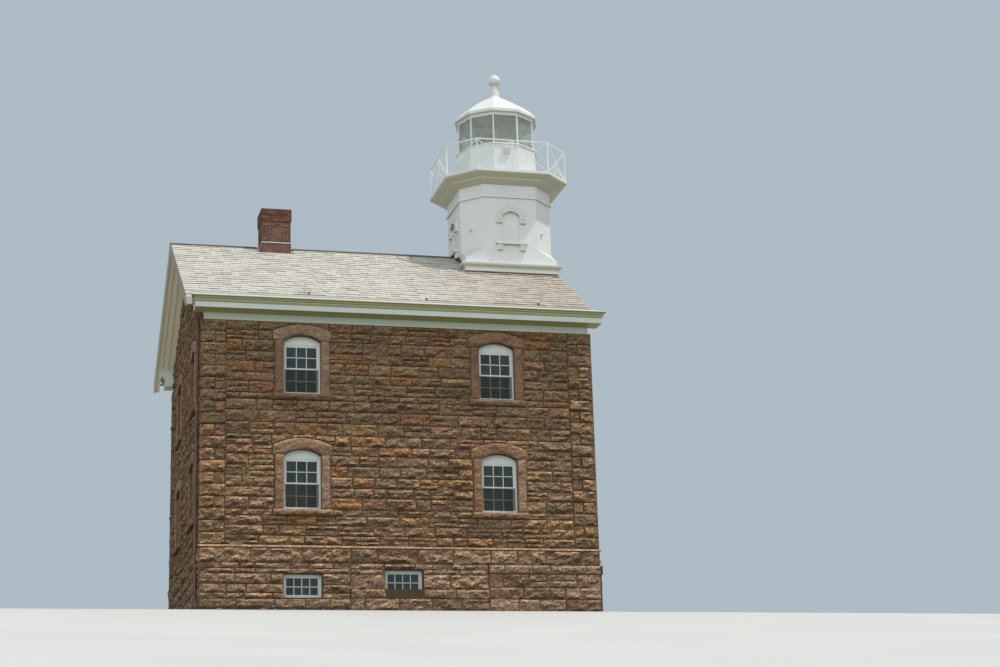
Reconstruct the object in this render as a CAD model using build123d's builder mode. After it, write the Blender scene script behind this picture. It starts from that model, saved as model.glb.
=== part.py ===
# A stone keeper's house with a white tower and lantern rising from one end of its roof.
# Millimetres. The origin is the middle of the house plan at its lowest ground.
# X runs along the house towards the tower, -Y is the front and Z is up.
import math
import os

from build123d import *

os.makedirs("parts", exist_ok=True)

# House walls
house_length = 10000
house_depth = 7650
wall_thickness = 330
foundation_height = 1600
foundation_thickness = 460
plinth_projection = 58
plinth_bevel = 45
footing_projection = 60
footing_course = 220
footing_low = 270
footing_middle = 530
footing_high = 1160
footing_first_step = -1350
footing_second_step = 2150

# Floors
floor_thickness = 250
storey_height = 2930
cellar_floor_thickness = 100

# Windows
window_width = 940
window_column = 2520
gable_window_column = 1750
window_sill_rise = 645
window_spring_rise = 1368
window_arch_rise = 150
lintel_width = 1486
lintel_depth = 278
lintel_arch_rise = 188
jamb_width = 217
sill_width = 1490
sill_thickness = 160
sill_projection = 70
trim_projection = 42
trim_depth = 150
reveal = 115
frame_width = 40
frame_depth = 125
sash_rail = 48
sash_thickness = 40
sash_gap = 4
glass_thickness = 6
head_board_height = 85
arch_chords = 8
cellar_window_width = 960
cellar_window_height = 590
cellar_sill_left = 310
cellar_sill_middle = 430

# Door
door_width = 1000
door_leaf_thickness = 55
door_panel_recess = 14
door_panel_margin = 120
stoop_width = 1700
stoop_depth = 950
stoop_step = 320
stoop_drop = 170

# Roof
roof_pitch = 0.6234
cap_rise = 125
slate_thickness = 30
roof_thickness = 150
slate_reach = 285
left_overhang = 523
right_slate_lip = 30
rake_slate_reach = 723
barge_thickness = 30
barge_drop = 45
rake_soffit_thickness = 22
right_board_height = 210
right_board_thickness = 25
ridge_cap_width = 125
ridge_cap_thickness = 26

# Eaves
frieze_drop = 434
frieze_height = 169
frieze_thickness = 35
fascia_height = 195
crown_height = 100
crown_reach = 637
crown_run = 110
crown_swell = 0.07
return_reach = 362
board_thickness = 28

# Chimney
chimney_x = -2683
chimney_width = 778
chimney_depth = 778
chimney_wall = 205
chimney_rise = 1018
chimney_cap_height = 375
corbel_step = 22
corbel_share = 0.68
sleeve_rise = 48
flashing_thickness = 10
flashing_flange = 95
flashing_upstand = 115
flashing_steps = 9
apron_reach = 230
apron_lip = 60

# Tower
tower_half = 1300
tower_chamfer = 553
tower_setback = -5
tower_wall = 150
pedestal_wall = 200
pedestal_crown_drop = 535
pedestal_fillet_height = 72
pedestal_crown_height = 163
pedestal_projection = 130
broach_base = 125
broach_height = 348
shaft_height = 2313
blind_sill_rise = 658
blind_sill_thickness = 95
blind_sill_width = 900
blind_sill_projection = 105
bracket_width = 165
bracket_height = 165
bracket_projection = 75
blind_width = 500
blind_height = 745
blind_rise = 120
blind_recess = 45
hood_width = 820
hood_leg = 220
hood_shoulder = 120
hood_rise = 140
hood_projection = 55
hood_block = 80
hood_lip = 14
keystone_width = 125
keystone_lean = 98
keystone_rise = 40
astragal_drop = 385
astragal_height = 78
astragal_projection = 48

# Gallery
deck_half = 1761
deck_chamfer = 732
deck_thickness = 94
soffit_height_in_all = 213
soffit_mid_reach = 215
soffit_mid_rise = 105
soffit_step = 32
soffit_outer_inset = 45
cornice_wall = 110
rail_height = 885
rail_inset = 41
rail_size = 32
post_size = 44
brace_size = 16

# Lantern
lantern_sides = 10
parapet_radius = 1165
parapet_thickness = 70
parapet_height = 988
lantern_sill_thickness = 45
lantern_sill_lip = 30
lantern_radius = 1123
mullion_width = 42
mullion_depth = 60
glazing_height = 850
header_height = 95
pane_thickness = 10
eave_radius = 1210
eave_edge = 81
lantern_roof_rise = 724
lantern_roof_shell = 35
lantern_roof_bulge = 85
lantern_roof_steps = 4
vent_width = 190
vent_height = 240
vent_drop = 45
vent_projection = 90
drum_radius = 128
drum_flare = 185
drum_height = 231
neck_radius = 62
neck_height = 168
ball_radius = 172
ball_bands = 9
ventilator_sides = 24
spike_height = 110
spike_radius = 22
spike_tip = 3

# Rainwater pipe
pipe_radius = 40
pipe_corner_distance = 150
pipe_head_size = 150
pipe_head_height = 130
pipe_head_taper = 6
strap_height = 38
strap_count = 3
strap_drop = 290
strap_pitch = 2400

# Worked-out places
half_length = house_length / 2
half_depth = house_depth / 2
inner_half_length = half_length - wall_thickness
inner_half_depth = half_depth - wall_thickness
tower_x = half_length - tower_setback - tower_half
roof_angle = math.atan(roof_pitch)
slate_drop = slate_thickness / math.cos(roof_angle)
roof_drop = roof_thickness / math.cos(roof_angle)
ground_floor_top = foundation_height + floor_thickness
upper_floor_top = ground_floor_top + storey_height
attic_floor_top = upper_floor_top + storey_height
window_sill_height = ground_floor_top + window_sill_rise
upper_sill_height = window_sill_height + storey_height
door_spring_rise = window_sill_rise + window_spring_rise
frieze_bottom = attic_floor_top - frieze_drop
soffit_height = frieze_bottom + frieze_height
fascia_top = soffit_height + fascia_height
fascia_reach = crown_reach - crown_run
crown_top = fascia_top + crown_height
ridge_height = crown_top + cap_rise + slate_drop + roof_pitch * (half_depth + slate_reach)
chimney_top = ridge_height + chimney_rise
sleeve_top = ridge_height + sleeve_rise
tower_seat = ridge_height - roof_drop - roof_pitch * tower_half
pedestal_crown_top = ridge_height - pedestal_crown_drop
pedestal_fillet_bottom = pedestal_crown_top - pedestal_crown_height - pedestal_fillet_height
broach_bottom = pedestal_crown_top + broach_base
broach_top = broach_bottom + broach_height
shaft_top = pedestal_crown_top + shaft_height
astragal_bottom = shaft_top - astragal_drop
blind_sill_top = pedestal_crown_top + blind_sill_rise
blind_spring = blind_sill_top + blind_height
hood_spring = blind_spring + hood_shoulder
hood_bottom = blind_spring - hood_leg
keystone_top = hood_spring + hood_rise + keystone_rise
deck_bottom = shaft_top + soffit_height_in_all
deck_top = deck_bottom + deck_thickness
glass_sill_height = deck_top + parapet_height + lantern_sill_thickness
glazing_top = glass_sill_height + glazing_height
roof_seat = glazing_top + header_height
eave_height = roof_seat + eave_edge
lantern_roof_top = eave_height + lantern_roof_rise
drum_top = lantern_roof_top + drum_height
ball_height = drum_top + neck_height + math.sqrt(ball_radius**2 - neck_radius**2)
lantern_flat = math.cos(math.pi / lantern_sides)
chamfer_share = 2 - math.sqrt(2)


def slate_height(reach):
    """Height of the slates at a distance from the ridge line."""
    return ridge_height - roof_pitch * abs(reach)


def roof_underside(reach):
    """Height of the roof's underside at a distance from the ridge line."""
    return slate_height(reach) - roof_drop


# Outer wall faces, each with its own plane: x along the wall, y up, z outwards
wall_planes = {
    "front": Plane(origin=(0, -half_depth, 0), x_dir=(1, 0, 0), z_dir=(0, -1, 0)),
    "back": Plane(origin=(0, half_depth, 0), x_dir=(-1, 0, 0), z_dir=(0, 1, 0)),
    "left": Plane(origin=(-half_length, 0, 0), x_dir=(0, -1, 0), z_dir=(-1, 0, 0)),
    "right": Plane(origin=(half_length, 0, 0), x_dir=(0, 1, 0), z_dir=(1, 0, 0)),
}
window_columns = {
    "front": (-window_column, window_column),
    "back": (-window_column, window_column),
    "left": (-gable_window_column, gable_window_column),
    "right": (-gable_window_column, gable_window_column),
}
cellar_windows = {
    "front": ((-window_column, cellar_sill_left), (0, cellar_sill_middle)),
    "back": ((window_column, cellar_sill_left), (0, cellar_sill_middle)),
}


def windows_of(side):
    """Column and sill height of each storey window in a wall."""
    return [
        (column, sill)
        for column in window_columns[side]
        for sill in (window_sill_height, upper_sill_height)
    ]


def placed(side, column, sill, depth=0):
    """Plane of an opening: its sill's middle, moved back into the wall by depth."""
    plane = wall_planes[side]
    origin = plane.from_local_coords(Vector(column, sill, -depth))
    return Plane(origin=origin, x_dir=plane.x_dir, z_dir=plane.z_dir)


def arch_points(half, spring, rise):
    """Points of a segmental arch on one circle, from its right end to its left."""
    radius = (half**2 + rise**2) / (2 * rise)
    sweep = math.asin(half / radius)
    angles = [sweep * (1 - 2 * index / arch_chords) for index in range(arch_chords + 1)]
    crown = spring + rise
    return [(radius * math.sin(angle), crown - radius * (1 - math.cos(angle))) for angle in angles]


def arched_outline(width, spring, rise):
    """Flat-sided opening with a segmental head, drawn from the middle of its sill."""
    half = width / 2
    with BuildSketch(Plane.XY) as outline:
        with BuildLine():
            Polyline((-half, 0), (half, 0), *arch_points(half, spring, rise), close=True)
        make_face()
    return outline.sketch


def opening_block(plane, outline, depth_in, depth_out):
    """Prism of an outline through a wall, from depth_in behind to depth_out before."""
    with BuildPart() as block:
        with BuildSketch(plane.offset(-depth_in)):
            add(outline)
        extrude(amount=depth_in + depth_out)
    return block.part


def lintel_outline(width, spring, rise):
    """Segmental arch stone over an opening, with level ends at the springing."""
    half = lintel_width / 2 + (width - window_width) / 2
    end_top = spring + rise + lintel_depth - lintel_arch_rise
    with BuildSketch(Plane.XY) as outline:
        with BuildLine():
            Polyline(
                (half, spring),
                *arch_points(half, end_top, lintel_arch_rise),
                (-half, spring),
                *reversed(arch_points(width / 2, spring, rise)),
                close=True,
            )
        make_face()
    return outline.sketch


def trim_pieces(side, column, sill, width, spring):
    """The dressed stones round one opening: lintel, the two jambs and the sill."""
    plane = placed(side, column, sill)
    with BuildPart() as lintel:
        with BuildSketch(plane.offset(-trim_depth)):
            add(lintel_outline(width, spring, window_arch_rise))
        extrude(amount=trim_depth + trim_projection)
    with BuildPart() as jambs:
        with BuildSketch(plane.offset(-trim_depth)):
            for hand in (-1, 1):
                with Locations((hand * (width + jamb_width) / 2, spring / 2)):
                    Rectangle(jamb_width, spring)
        extrude(amount=trim_depth + trim_projection)
    with BuildPart() as sill_stone:
        with BuildSketch(plane.offset(-trim_depth)):
            with Locations((0, -sill_thickness / 2)):
                Rectangle(sill_width + width - window_width, sill_thickness)
        extrude(amount=trim_depth + sill_projection)
    return lintel.part, jambs.part, sill_stone.part


# Every dressed opening of the storeys, with the door standing in the back wall
dressed_openings = [
    (side, column, sill, window_width, window_spring_rise)
    for side in wall_planes
    for column, sill in windows_of(side)
]
door_opening = ("back", 0, ground_floor_top, door_width, door_spring_rise)
dressed_openings.append(door_opening)

lintel_stones = []
jamb_stones = []
sill_stones = []
for opening in dressed_openings:
    lintel_stone, jamb_pair, sill_stone_part = trim_pieces(*opening)
    lintel_stones.append(lintel_stone)
    jamb_stones.append(jamb_pair)
    sill_stones.append(sill_stone_part)


def cut_openings(side):
    """Clear openings and beds of dressed stone to take out of one wall."""
    cutters = []
    for index, opening in enumerate(dressed_openings):
        if opening[0] != side:
            continue
        outline = arched_outline(opening[3], opening[4], window_arch_rise)
        plane = placed(side, opening[1], opening[2])
        cutters.append(opening_block(plane, outline, wall_thickness, trim_projection))
        cutters.append(lintel_stones[index])
        cutters.append(jamb_stones[index])
        cutters.append(sill_stones[index])
    return cutters


def cellar_cutters(side):
    """Clear openings of the cellar windows in one foundation wall."""
    cutters = []
    for column, sill in cellar_windows.get(side, ()):
        plane = placed(side, column, sill)
        with BuildPart() as block:
            with BuildSketch(plane.offset(plinth_projection)):
                with Locations((0, cellar_window_height / 2)):
                    Rectangle(cellar_window_width, cellar_window_height)
            extrude(amount=-foundation_thickness)
        cutters.append(block.part)
    return cutters


# Foundation walls: a bevelled water table on top and footing courses that climb the slope
def foundation_section(projection):
    """Section of a foundation wall, out from the wall face to the right, z up."""
    with BuildSketch(Plane.XY) as section:
        with BuildLine():
            Polyline(
                (plinth_projection - foundation_thickness, 0),
                (projection, 0),
                (projection, foundation_height - plinth_bevel),
                (0, foundation_height),
                (plinth_projection - foundation_thickness, foundation_height),
                close=True,
            )
        make_face()
    return section.sketch


def long_foundation(side):
    """Foundation wall of a long side, whose ends wrap the corners."""
    facing = wall_planes[side]
    hand = 1 if side == "front" else -1
    outer = half_length + plinth_projection
    section_plane = Plane(
        origin=facing.from_local_coords(Vector(-outer, 0, 0)),
        x_dir=facing.z_dir,
        z_dir=-facing.x_dir,
    )
    inner_edge = plinth_projection - foundation_thickness
    low_end = -outer - footing_projection
    high_end = outer + footing_projection
    steps = (
        (low_end, footing_first_step, footing_low, footing_low),
        (footing_first_step, footing_second_step, footing_middle, footing_course),
        (footing_second_step, high_end, footing_high, footing_course),
    )
    with BuildPart() as wall:
        with BuildSketch(section_plane):
            add(foundation_section(plinth_projection))
        extrude(amount=-2 * outer)
        for start, end, top, course in steps:
            reach = plinth_projection + footing_projection
            with BuildSketch(facing.offset(inner_edge)):
                with Locations((hand * (start + end) / 2, top - course / 2)):
                    Rectangle(end - start, course)
            extrude(amount=reach - inner_edge)
            if top > course:
                end_below = min(end, outer + footing_projection / 2)
                with BuildSketch(facing.offset(inner_edge)):
                    with Locations((hand * (start + end_below) / 2, (top - course) / 2)):
                        Rectangle(end_below - start, top - course)
                extrude(amount=reach - footing_projection / 2 - inner_edge)
        for end_hand in (-1, 1):
            bevel_plane = Plane(
                origin=facing.from_local_coords(Vector(end_hand * half_length, 0, 0)),
                x_dir=facing.x_dir * end_hand,
                z_dir=-facing.z_dir * end_hand,
            )
            with BuildSketch(bevel_plane.offset(-plinth_projection * 2)):
                with BuildLine():
                    Polyline(
                        (0, foundation_height),
                        (plinth_projection, foundation_height - plinth_bevel),
                        (plinth_projection, foundation_height),
                        close=True,
                    )
                make_face()
            extrude(
                amount=foundation_thickness * 2 * end_hand,
                both=True,
                mode=Mode.SUBTRACT,
            )
        for cutter in cellar_cutters(side):
            add(cutter, mode=Mode.SUBTRACT)
    return wall.part


def gable_foundation(side, footing_top):
    """Foundation wall of a gable side, between the two long walls."""
    facing = wall_planes[side]
    reach = half_depth + plinth_projection - foundation_thickness
    section_plane = Plane(
        origin=facing.from_local_coords(Vector(-reach, 0, 0)),
        x_dir=facing.z_dir,
        z_dir=-facing.x_dir,
    )
    inner_edge = plinth_projection - foundation_thickness
    course = min(footing_course, footing_top)
    with BuildPart() as wall:
        with BuildSketch(section_plane):
            add(foundation_section(plinth_projection))
        extrude(amount=-2 * reach)
        with BuildSketch(facing.offset(inner_edge)):
            with Locations((0, footing_top - course / 2)):
                Rectangle(2 * reach, course)
        extrude(amount=plinth_projection + footing_projection - inner_edge)
        with BuildSketch(facing.offset(inner_edge)):
            with Locations((0, footing_top / 2)):
                Rectangle(2 * reach, footing_top)
        extrude(amount=plinth_projection + footing_projection / 2 - inner_edge)
    return wall.part


with BuildPart() as foundation_front:
    add(long_foundation("front"))
foundation_front.part.label = "foundation_front"

with BuildPart() as foundation_back:
    add(long_foundation("back"))
foundation_back.part.label = "foundation_back"

with BuildPart() as foundation_left:
    add(gable_foundation("left", footing_low))
foundation_left.part.label = "foundation_left"

with BuildPart() as foundation_right:
    add(gable_foundation("right", footing_high))
foundation_right.part.label = "foundation_right"

# Storey walls, cut for windows, door and dressed stones
def long_wall(side):
    """Front or back wall, its top cut to the slope of the roof."""
    facing = wall_planes[side]
    section_plane = Plane(
        origin=facing.from_local_coords(Vector(-half_length, 0, 0)),
        x_dir=facing.z_dir,
        z_dir=-facing.x_dir,
    )
    with BuildPart() as wall:
        with BuildSketch(section_plane):
            with BuildLine():
                Polyline(
                    (-wall_thickness, foundation_height),
                    (0, foundation_height),
                    (0, roof_underside(half_depth)),
                    (-wall_thickness, roof_underside(inner_half_depth)),
                    close=True,
                )
            make_face()
        extrude(amount=-house_length)
        for cutter in cut_openings(side):
            add(cutter, mode=Mode.SUBTRACT)
    return wall.part


def gable_wall(side, peak_cut=None):
    """Gable wall between the long walls, up to the roof's underside."""
    facing = wall_planes[side]
    with BuildPart() as wall:
        with BuildSketch(facing):
            with BuildLine():
                Polyline(
                    (-inner_half_depth, foundation_height),
                    (inner_half_depth, foundation_height),
                    (inner_half_depth, roof_underside(inner_half_depth)),
                    (0, roof_underside(0)),
                    (-inner_half_depth, roof_underside(inner_half_depth)),
                    close=True,
                )
            make_face()
        extrude(amount=-wall_thickness)
        for cutter in cut_openings(side):
            add(cutter, mode=Mode.SUBTRACT)
        if peak_cut is not None:
            with BuildSketch(facing.offset(-wall_thickness)):
                with Locations((0, peak_cut + tower_half)):
                    Rectangle(4 * tower_half, 2 * tower_half)
            extrude(amount=wall_thickness, mode=Mode.SUBTRACT)
    return wall.part


with BuildPart() as front_wall:
    add(long_wall("front"))
front_wall.part.label = "front_wall"

with BuildPart() as back_wall:
    add(long_wall("back"))
back_wall.part.label = "back_wall"

with BuildPart() as left_gable_wall:
    add(gable_wall("left"))
left_gable_wall.part.label = "left_gable_wall"

with BuildPart() as right_gable_wall:
    add(gable_wall("right", tower_seat))
right_gable_wall.part.label = "right_gable_wall"

# Dressed stones round the windows and the door
with BuildPart() as window_lintels:
    for stone in lintel_stones:
        add(stone)
window_lintels.part.label = "window_lintels"

with BuildPart() as window_jambs:
    for stone in jamb_stones:
        add(stone)
window_jambs.part.label = "window_jambs"

with BuildPart() as window_sills:
    for stone in sill_stones:
        add(stone)
window_sills.part.label = "window_sills"


# Window frames, sashes and panes
def ring_block(plane, outer, inner, depth):
    """Frame between two outlines, going back into the wall from a plane."""
    with BuildPart() as block:
        with BuildSketch(plane):
            add(outer)
            add(inner, mode=Mode.SUBTRACT)
        extrude(amount=-depth)
    return block.part


def rectangle_outline(width, bottom, top):
    """Upright rectangle about the middle line."""
    with BuildSketch(Plane.XY) as outline:
        with Locations((0, (bottom + top) / 2)):
            Rectangle(width, top - bottom)
    return outline.sketch


def pane(plane, light):
    """Sheet of glass that fills an outline."""
    with BuildPart() as sheet:
        with BuildSketch(plane):
            add(light)
        extrude(amount=-glass_thickness)
    return sheet.part


clear_width = window_width - 2 * frame_width
meeting_height = (frame_width + window_spring_rise - head_board_height) / 2 + sash_rail / 4
upper_depth = reveal + frame_width / 2
lower_depth = upper_depth + sash_thickness + sash_gap
sash_head = window_spring_rise - head_board_height


frame_parts = []
upper_sash_parts = []
lower_sash_parts = []
glass_parts = []
for side in wall_planes:
    for column, sill in windows_of(side):
        face = placed(side, column, sill, reveal)
        full = arched_outline(window_width, window_spring_rise, window_arch_rise)
        opening_left = rectangle_outline(clear_width, frame_width, sash_head)
        frame_parts.append(ring_block(face, full, opening_left, frame_depth))
        for sashes, depth, bottom, top in (
            (upper_sash_parts, upper_depth, meeting_height - sash_rail / 2, sash_head),
            (lower_sash_parts, lower_depth, frame_width, meeting_height + sash_rail / 2),
        ):
            outer = rectangle_outline(clear_width, bottom, top)
            light = rectangle_outline(clear_width - 2 * sash_rail, bottom + sash_rail, top - sash_rail)
            sashes.append(ring_block(placed(side, column, sill, depth), outer, light, sash_thickness))
            pane_depth = depth + (sash_thickness - glass_thickness) / 2
            glass_parts.append(pane(placed(side, column, sill, pane_depth), light))

for side, cellar_row in cellar_windows.items():
    for column, sill in cellar_row:
        face = placed(side, column, sill, reveal)
        rim = frame_width + sash_rail
        frame_parts.append(
            ring_block(
                face,
                rectangle_outline(cellar_window_width, 0, cellar_window_height),
                rectangle_outline(cellar_window_width - 2 * rim, rim, cellar_window_height - rim),
                frame_depth,
            )
        )
        cellar_light = rectangle_outline(cellar_window_width - 2 * rim, rim, cellar_window_height - rim)
        glass_parts.append(pane(placed(side, column, sill, reveal + frame_depth / 2), cellar_light))

with BuildPart() as window_frames:
    for piece in frame_parts:
        add(piece)
window_frames.part.label = "window_frames"

with BuildPart() as upper_sashes:
    for piece in upper_sash_parts:
        add(piece)
upper_sashes.part.label = "upper_sashes"

with BuildPart() as lower_sashes:
    for piece in lower_sash_parts:
        add(piece)
lower_sashes.part.label = "lower_sashes"

with BuildPart() as window_glass:
    for piece in glass_parts:
        add(piece)
window_glass.part.label = "window_glass"

# Entrance in the back wall: frame, panelled leaf and the stone stoop below its sill
door_plane = placed(*door_opening[:3], reveal)
door_inner = door_width - 2 * frame_width
with BuildPart() as door_frame:
    with BuildSketch(door_plane):
        add(arched_outline(door_width, door_spring_rise, window_arch_rise))
        with Locations((0, (door_spring_rise - frame_width) / 2)):
            Rectangle(door_inner, door_spring_rise - frame_width, mode=Mode.SUBTRACT)
    extrude(amount=-frame_depth)
door_frame.part.label = "door_frame"

with BuildPart() as entrance_door:
    with BuildSketch(door_plane.offset(-frame_width)):
        with Locations((0, (door_spring_rise - frame_width) / 2)):
            Rectangle(door_inner, door_spring_rise - frame_width)
    extrude(amount=-door_leaf_thickness)
    panel_width = (door_inner - 3 * door_panel_margin) / 2
    panel_height = (door_spring_rise - frame_width - 3 * door_panel_margin) / 2
    with BuildSketch(door_plane.offset(-frame_width)):
        with Locations((0, (door_spring_rise - frame_width) / 2)):
            with GridLocations(panel_width + door_panel_margin, panel_height + door_panel_margin, 2, 2):
                Rectangle(panel_width, panel_height)
    extrude(amount=-door_panel_recess, mode=Mode.SUBTRACT)
entrance_door.part.label = "entrance_door"

stoop_top = ground_floor_top - stoop_drop
stoop_back = half_depth + plinth_projection
with BuildPart() as door_stoop:
    with BuildSketch(Plane.YZ.offset(-stoop_width / 2)):
        with BuildLine():
            Polyline(
                (stoop_back, 0),
                (stoop_back + stoop_depth, 0),
                (stoop_back + stoop_depth, stoop_top - stoop_drop),
                (stoop_back + stoop_depth - stoop_step, stoop_top - stoop_drop),
                (stoop_back + stoop_depth - stoop_step, stoop_top),
                (half_depth, stoop_top),
                (half_depth, foundation_height),
                (stoop_back, foundation_height - plinth_bevel),
                close=True,
            )
        make_face()
    extrude(amount=stoop_width)
    add(foundation_back.part, mode=Mode.SUBTRACT)
door_stoop.part.label = "door_stoop"

# Floors, with the chimney passing through them
def floor_slab(top, thickness, half_x, half_y):
    """Level floor inside the walls, open round the chimney."""
    with BuildPart() as slab:
        with BuildSketch(Plane.XY.offset(top - thickness)):
            Rectangle(2 * half_x, 2 * half_y)
            with Locations((chimney_x, 0)):
                Rectangle(chimney_width, chimney_depth, mode=Mode.SUBTRACT)
        extrude(amount=thickness)
    return slab.part


with BuildPart() as cellar_floor:
    with BuildSketch(Plane.XY):
        Rectangle(
            2 * (half_length + plinth_projection - foundation_thickness),
            2 * (half_depth + plinth_projection - foundation_thickness),
        )
    extrude(amount=cellar_floor_thickness)
cellar_floor.part.label = "cellar_floor"

with BuildPart() as ground_floor:
    add(floor_slab(ground_floor_top, floor_thickness, inner_half_length, inner_half_depth))
ground_floor.part.label = "ground_floor"

with BuildPart() as upper_floor:
    add(floor_slab(upper_floor_top, floor_thickness, inner_half_length, inner_half_depth))
upper_floor.part.label = "upper_floor"

with BuildPart() as attic_floor:
    add(floor_slab(attic_floor_top, floor_thickness, inner_half_length, inner_half_depth))
attic_floor.part.label = "attic_floor"


# Roof: one slab a side, slates over boards, with the slates reaching past at the rakes
def roof_profile(reach, drop):
    """Section of the front slope from the ridge out to a reach past the wall."""
    outer = half_depth + reach
    with BuildSketch(Plane.YZ) as section:
        with BuildLine():
            Polyline(
                (0, ridge_height),
                (-outer, slate_height(outer)),
                (-outer, slate_height(outer) - drop),
                (0, ridge_height - drop),
                close=True,
            )
        make_face()
    return section.sketch


slate_left = -half_length - left_overhang
slate_right = half_length + right_slate_lip
rafter_left = slate_left + barge_thickness
return_end = -half_length - return_reach


def front_slope():
    """The front half of the roof, with its openings for chimney and tower."""
    with BuildPart() as slope:
        for profile, start, end in (
            (roof_profile(slate_reach, roof_drop), rafter_left, half_length),
            (roof_profile(slate_reach, slate_drop), slate_left, slate_right),
            (roof_profile(rake_slate_reach, slate_drop), slate_left, return_end),
            (roof_profile(rake_slate_reach, roof_drop), rafter_left, return_end),
        ):
            with BuildSketch(Plane.YZ.offset(start)):
                add(Plane.YZ.to_local_coords(profile))
            extrude(amount=end - start)
        with BuildSketch(Plane.XY.offset(ridge_height - 2 * roof_drop - tower_half)):
            with Locations((chimney_x, 0)):
                Rectangle(chimney_width, chimney_depth)
            with Locations((tower_x, 0)):
                Rectangle(2 * tower_half, 2 * tower_half)
            with Locations((slate_right, 0)):
                Rectangle(2 * (slate_right - tower_x), 2 * tower_half)
        extrude(amount=4 * tower_half, mode=Mode.SUBTRACT)
    return slope.part


front_slope_part = front_slope()

with BuildPart() as roof_front:
    add(front_slope_part)
roof_front.part.label = "roof_front"

with BuildPart() as roof_back:
    add(mirror(front_slope_part, about=Plane.XZ, mode=Mode.PRIVATE))
roof_back.part.label = "roof_back"

tower_left = tower_x - tower_half


def roof_skin(rise, width, start, end):
    """Folded sheet over the ridge, of a given rise above the slates."""
    with BuildPart() as skin:
        with BuildSketch(Plane.YZ.offset(start)):
            with BuildLine():
                Polyline(
                    (-width, slate_height(width)),
                    (0, ridge_height),
                    (width, slate_height(width)),
                    (width, slate_height(width) + rise),
                    (0, ridge_height + rise),
                    (-width, slate_height(width) + rise),
                    close=True,
                )
            make_face()
        extrude(amount=end - start)
    return skin.part


chimney_left = chimney_x - chimney_width / 2
chimney_right = chimney_x + chimney_width / 2
saddle_reach = flashing_thickness + flashing_flange
with BuildPart() as ridge_cap:
    add(roof_skin(ridge_cap_thickness, ridge_cap_width, slate_left, chimney_left - saddle_reach))
    add(
        roof_skin(
            ridge_cap_thickness,
            ridge_cap_width,
            chimney_right + saddle_reach,
            tower_left - flashing_thickness,
        )
    )
ridge_cap.part.label = "ridge_cap"


# Boxed eaves: frieze, soffit, fascia and a crown that turns both corners
def eave_section(wall, reach, edge_top, cap_slope):
    """Soffit, fascia, crown and cap of an eave, from the middle out past a wall."""
    fascia = wall + reach - crown_run
    edge = wall + reach
    lip = crown_height / 6
    swell = crown_run * crown_swell
    bend = (fascia + crown_run / 2, fascia_top + (crown_height - lip) / 2)
    with BuildSketch(Plane.XY) as section:
        with BuildLine():
            Polyline((0, soffit_height), (fascia, soffit_height), (fascia, fascia_top))
            ThreePointArc(
                (fascia, fascia_top),
                (fascia + crown_run / 4 + swell, fascia_top + (crown_height - lip) / 4 - swell),
                bend,
            )
            ThreePointArc(
                bend,
                (edge - crown_run / 4 - swell, crown_top - lip - (crown_height - lip) / 4 + swell),
                (edge, crown_top - lip),
            )
            Polyline(
                (edge, crown_top - lip),
                (edge, edge_top),
                (0, edge_top + cap_slope * edge),
                (0, soffit_height),
            )
        make_face()
    return section.sketch


def front_eave():
    """The front eave with its short returns, fitted under the slates."""
    eave_y = -half_depth
    cap_edge = crown_top + cap_rise
    cap_slope = cap_rise / (crown_reach - slate_reach)
    with BuildPart() as eave:
        with BuildSketch(Plane(origin=(0, 0, 0), x_dir=(0, -1, 0), z_dir=(-1, 0, 0))):
            add(eave_section(half_depth, crown_reach, crown_top, cap_slope))
        extrude(amount=half_length + 2 * return_reach, both=True)
        # The same section the other way mitres the corners, the left one under the rake
        with BuildSketch(Plane(origin=(0, 0, 0), x_dir=(1, 0, 0), z_dir=(0, -1, 0))):
            add(eave_section(half_length, return_reach, crown_top, cap_slope))
            add(
                mirror(
                    eave_section(half_length, return_reach, cap_edge + cap_rise, 0),
                    about=Plane.YZ,
                    mode=Mode.PRIVATE,
                )
            )
        extrude(amount=house_depth, both=True, mode=Mode.INTERSECT)
        # Only what stands before the wall stays, and the frieze board joins it below
        with BuildSketch(Plane.XY):
            with Locations((0, half_depth)):
                Rectangle(2 * house_length, 2 * house_depth)
        extrude(amount=2 * ridge_height, mode=Mode.SUBTRACT)
        with BuildSketch(Plane.XY.offset(frieze_bottom)):
            with Locations((0, eave_y - frieze_thickness / 2)):
                Rectangle(house_length, frieze_thickness)
        extrude(amount=soffit_height - frieze_bottom)
        # The hollow of the box, along the wall
        with BuildSketch(Plane.YZ.offset(-half_length)):
            with BuildLine():
                Polyline(
                    (eave_y, soffit_height + board_thickness),
                    (eave_y - fascia_reach + board_thickness, soffit_height + board_thickness),
                    (eave_y - fascia_reach + board_thickness, fascia_top),
                    (eave_y - slate_reach - board_thickness, cap_edge - 2 * board_thickness),
                    (eave_y - slate_reach, roof_underside(half_depth + slate_reach)),
                    (eave_y, roof_underside(half_depth)),
                    close=True,
                )
            make_face()
        extrude(amount=house_length, mode=Mode.SUBTRACT)
        # What would stand in the roof slab or above it is cut away
        with BuildSketch(Plane.YZ.offset(slate_left)):
            with BuildLine():
                Polyline(
                    (-half_depth - slate_reach, roof_underside(half_depth + slate_reach)),
                    (-half_depth - slate_reach, ridge_height),
                    (eave_y, ridge_height),
                    (eave_y, roof_underside(half_depth)),
                    close=True,
                )
            make_face()
        extrude(amount=slate_right - slate_left, mode=Mode.SUBTRACT)
        add(roof_front.part, mode=Mode.SUBTRACT)
    return eave.part


front_eave_part = front_eave()

with BuildPart() as front_cornice:
    add(front_eave_part)
front_cornice.part.label = "front_cornice"

with BuildPart() as back_cornice:
    add(mirror(front_eave_part, about=Plane.XZ, mode=Mode.PRIVATE))
back_cornice.part.label = "back_cornice"


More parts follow.
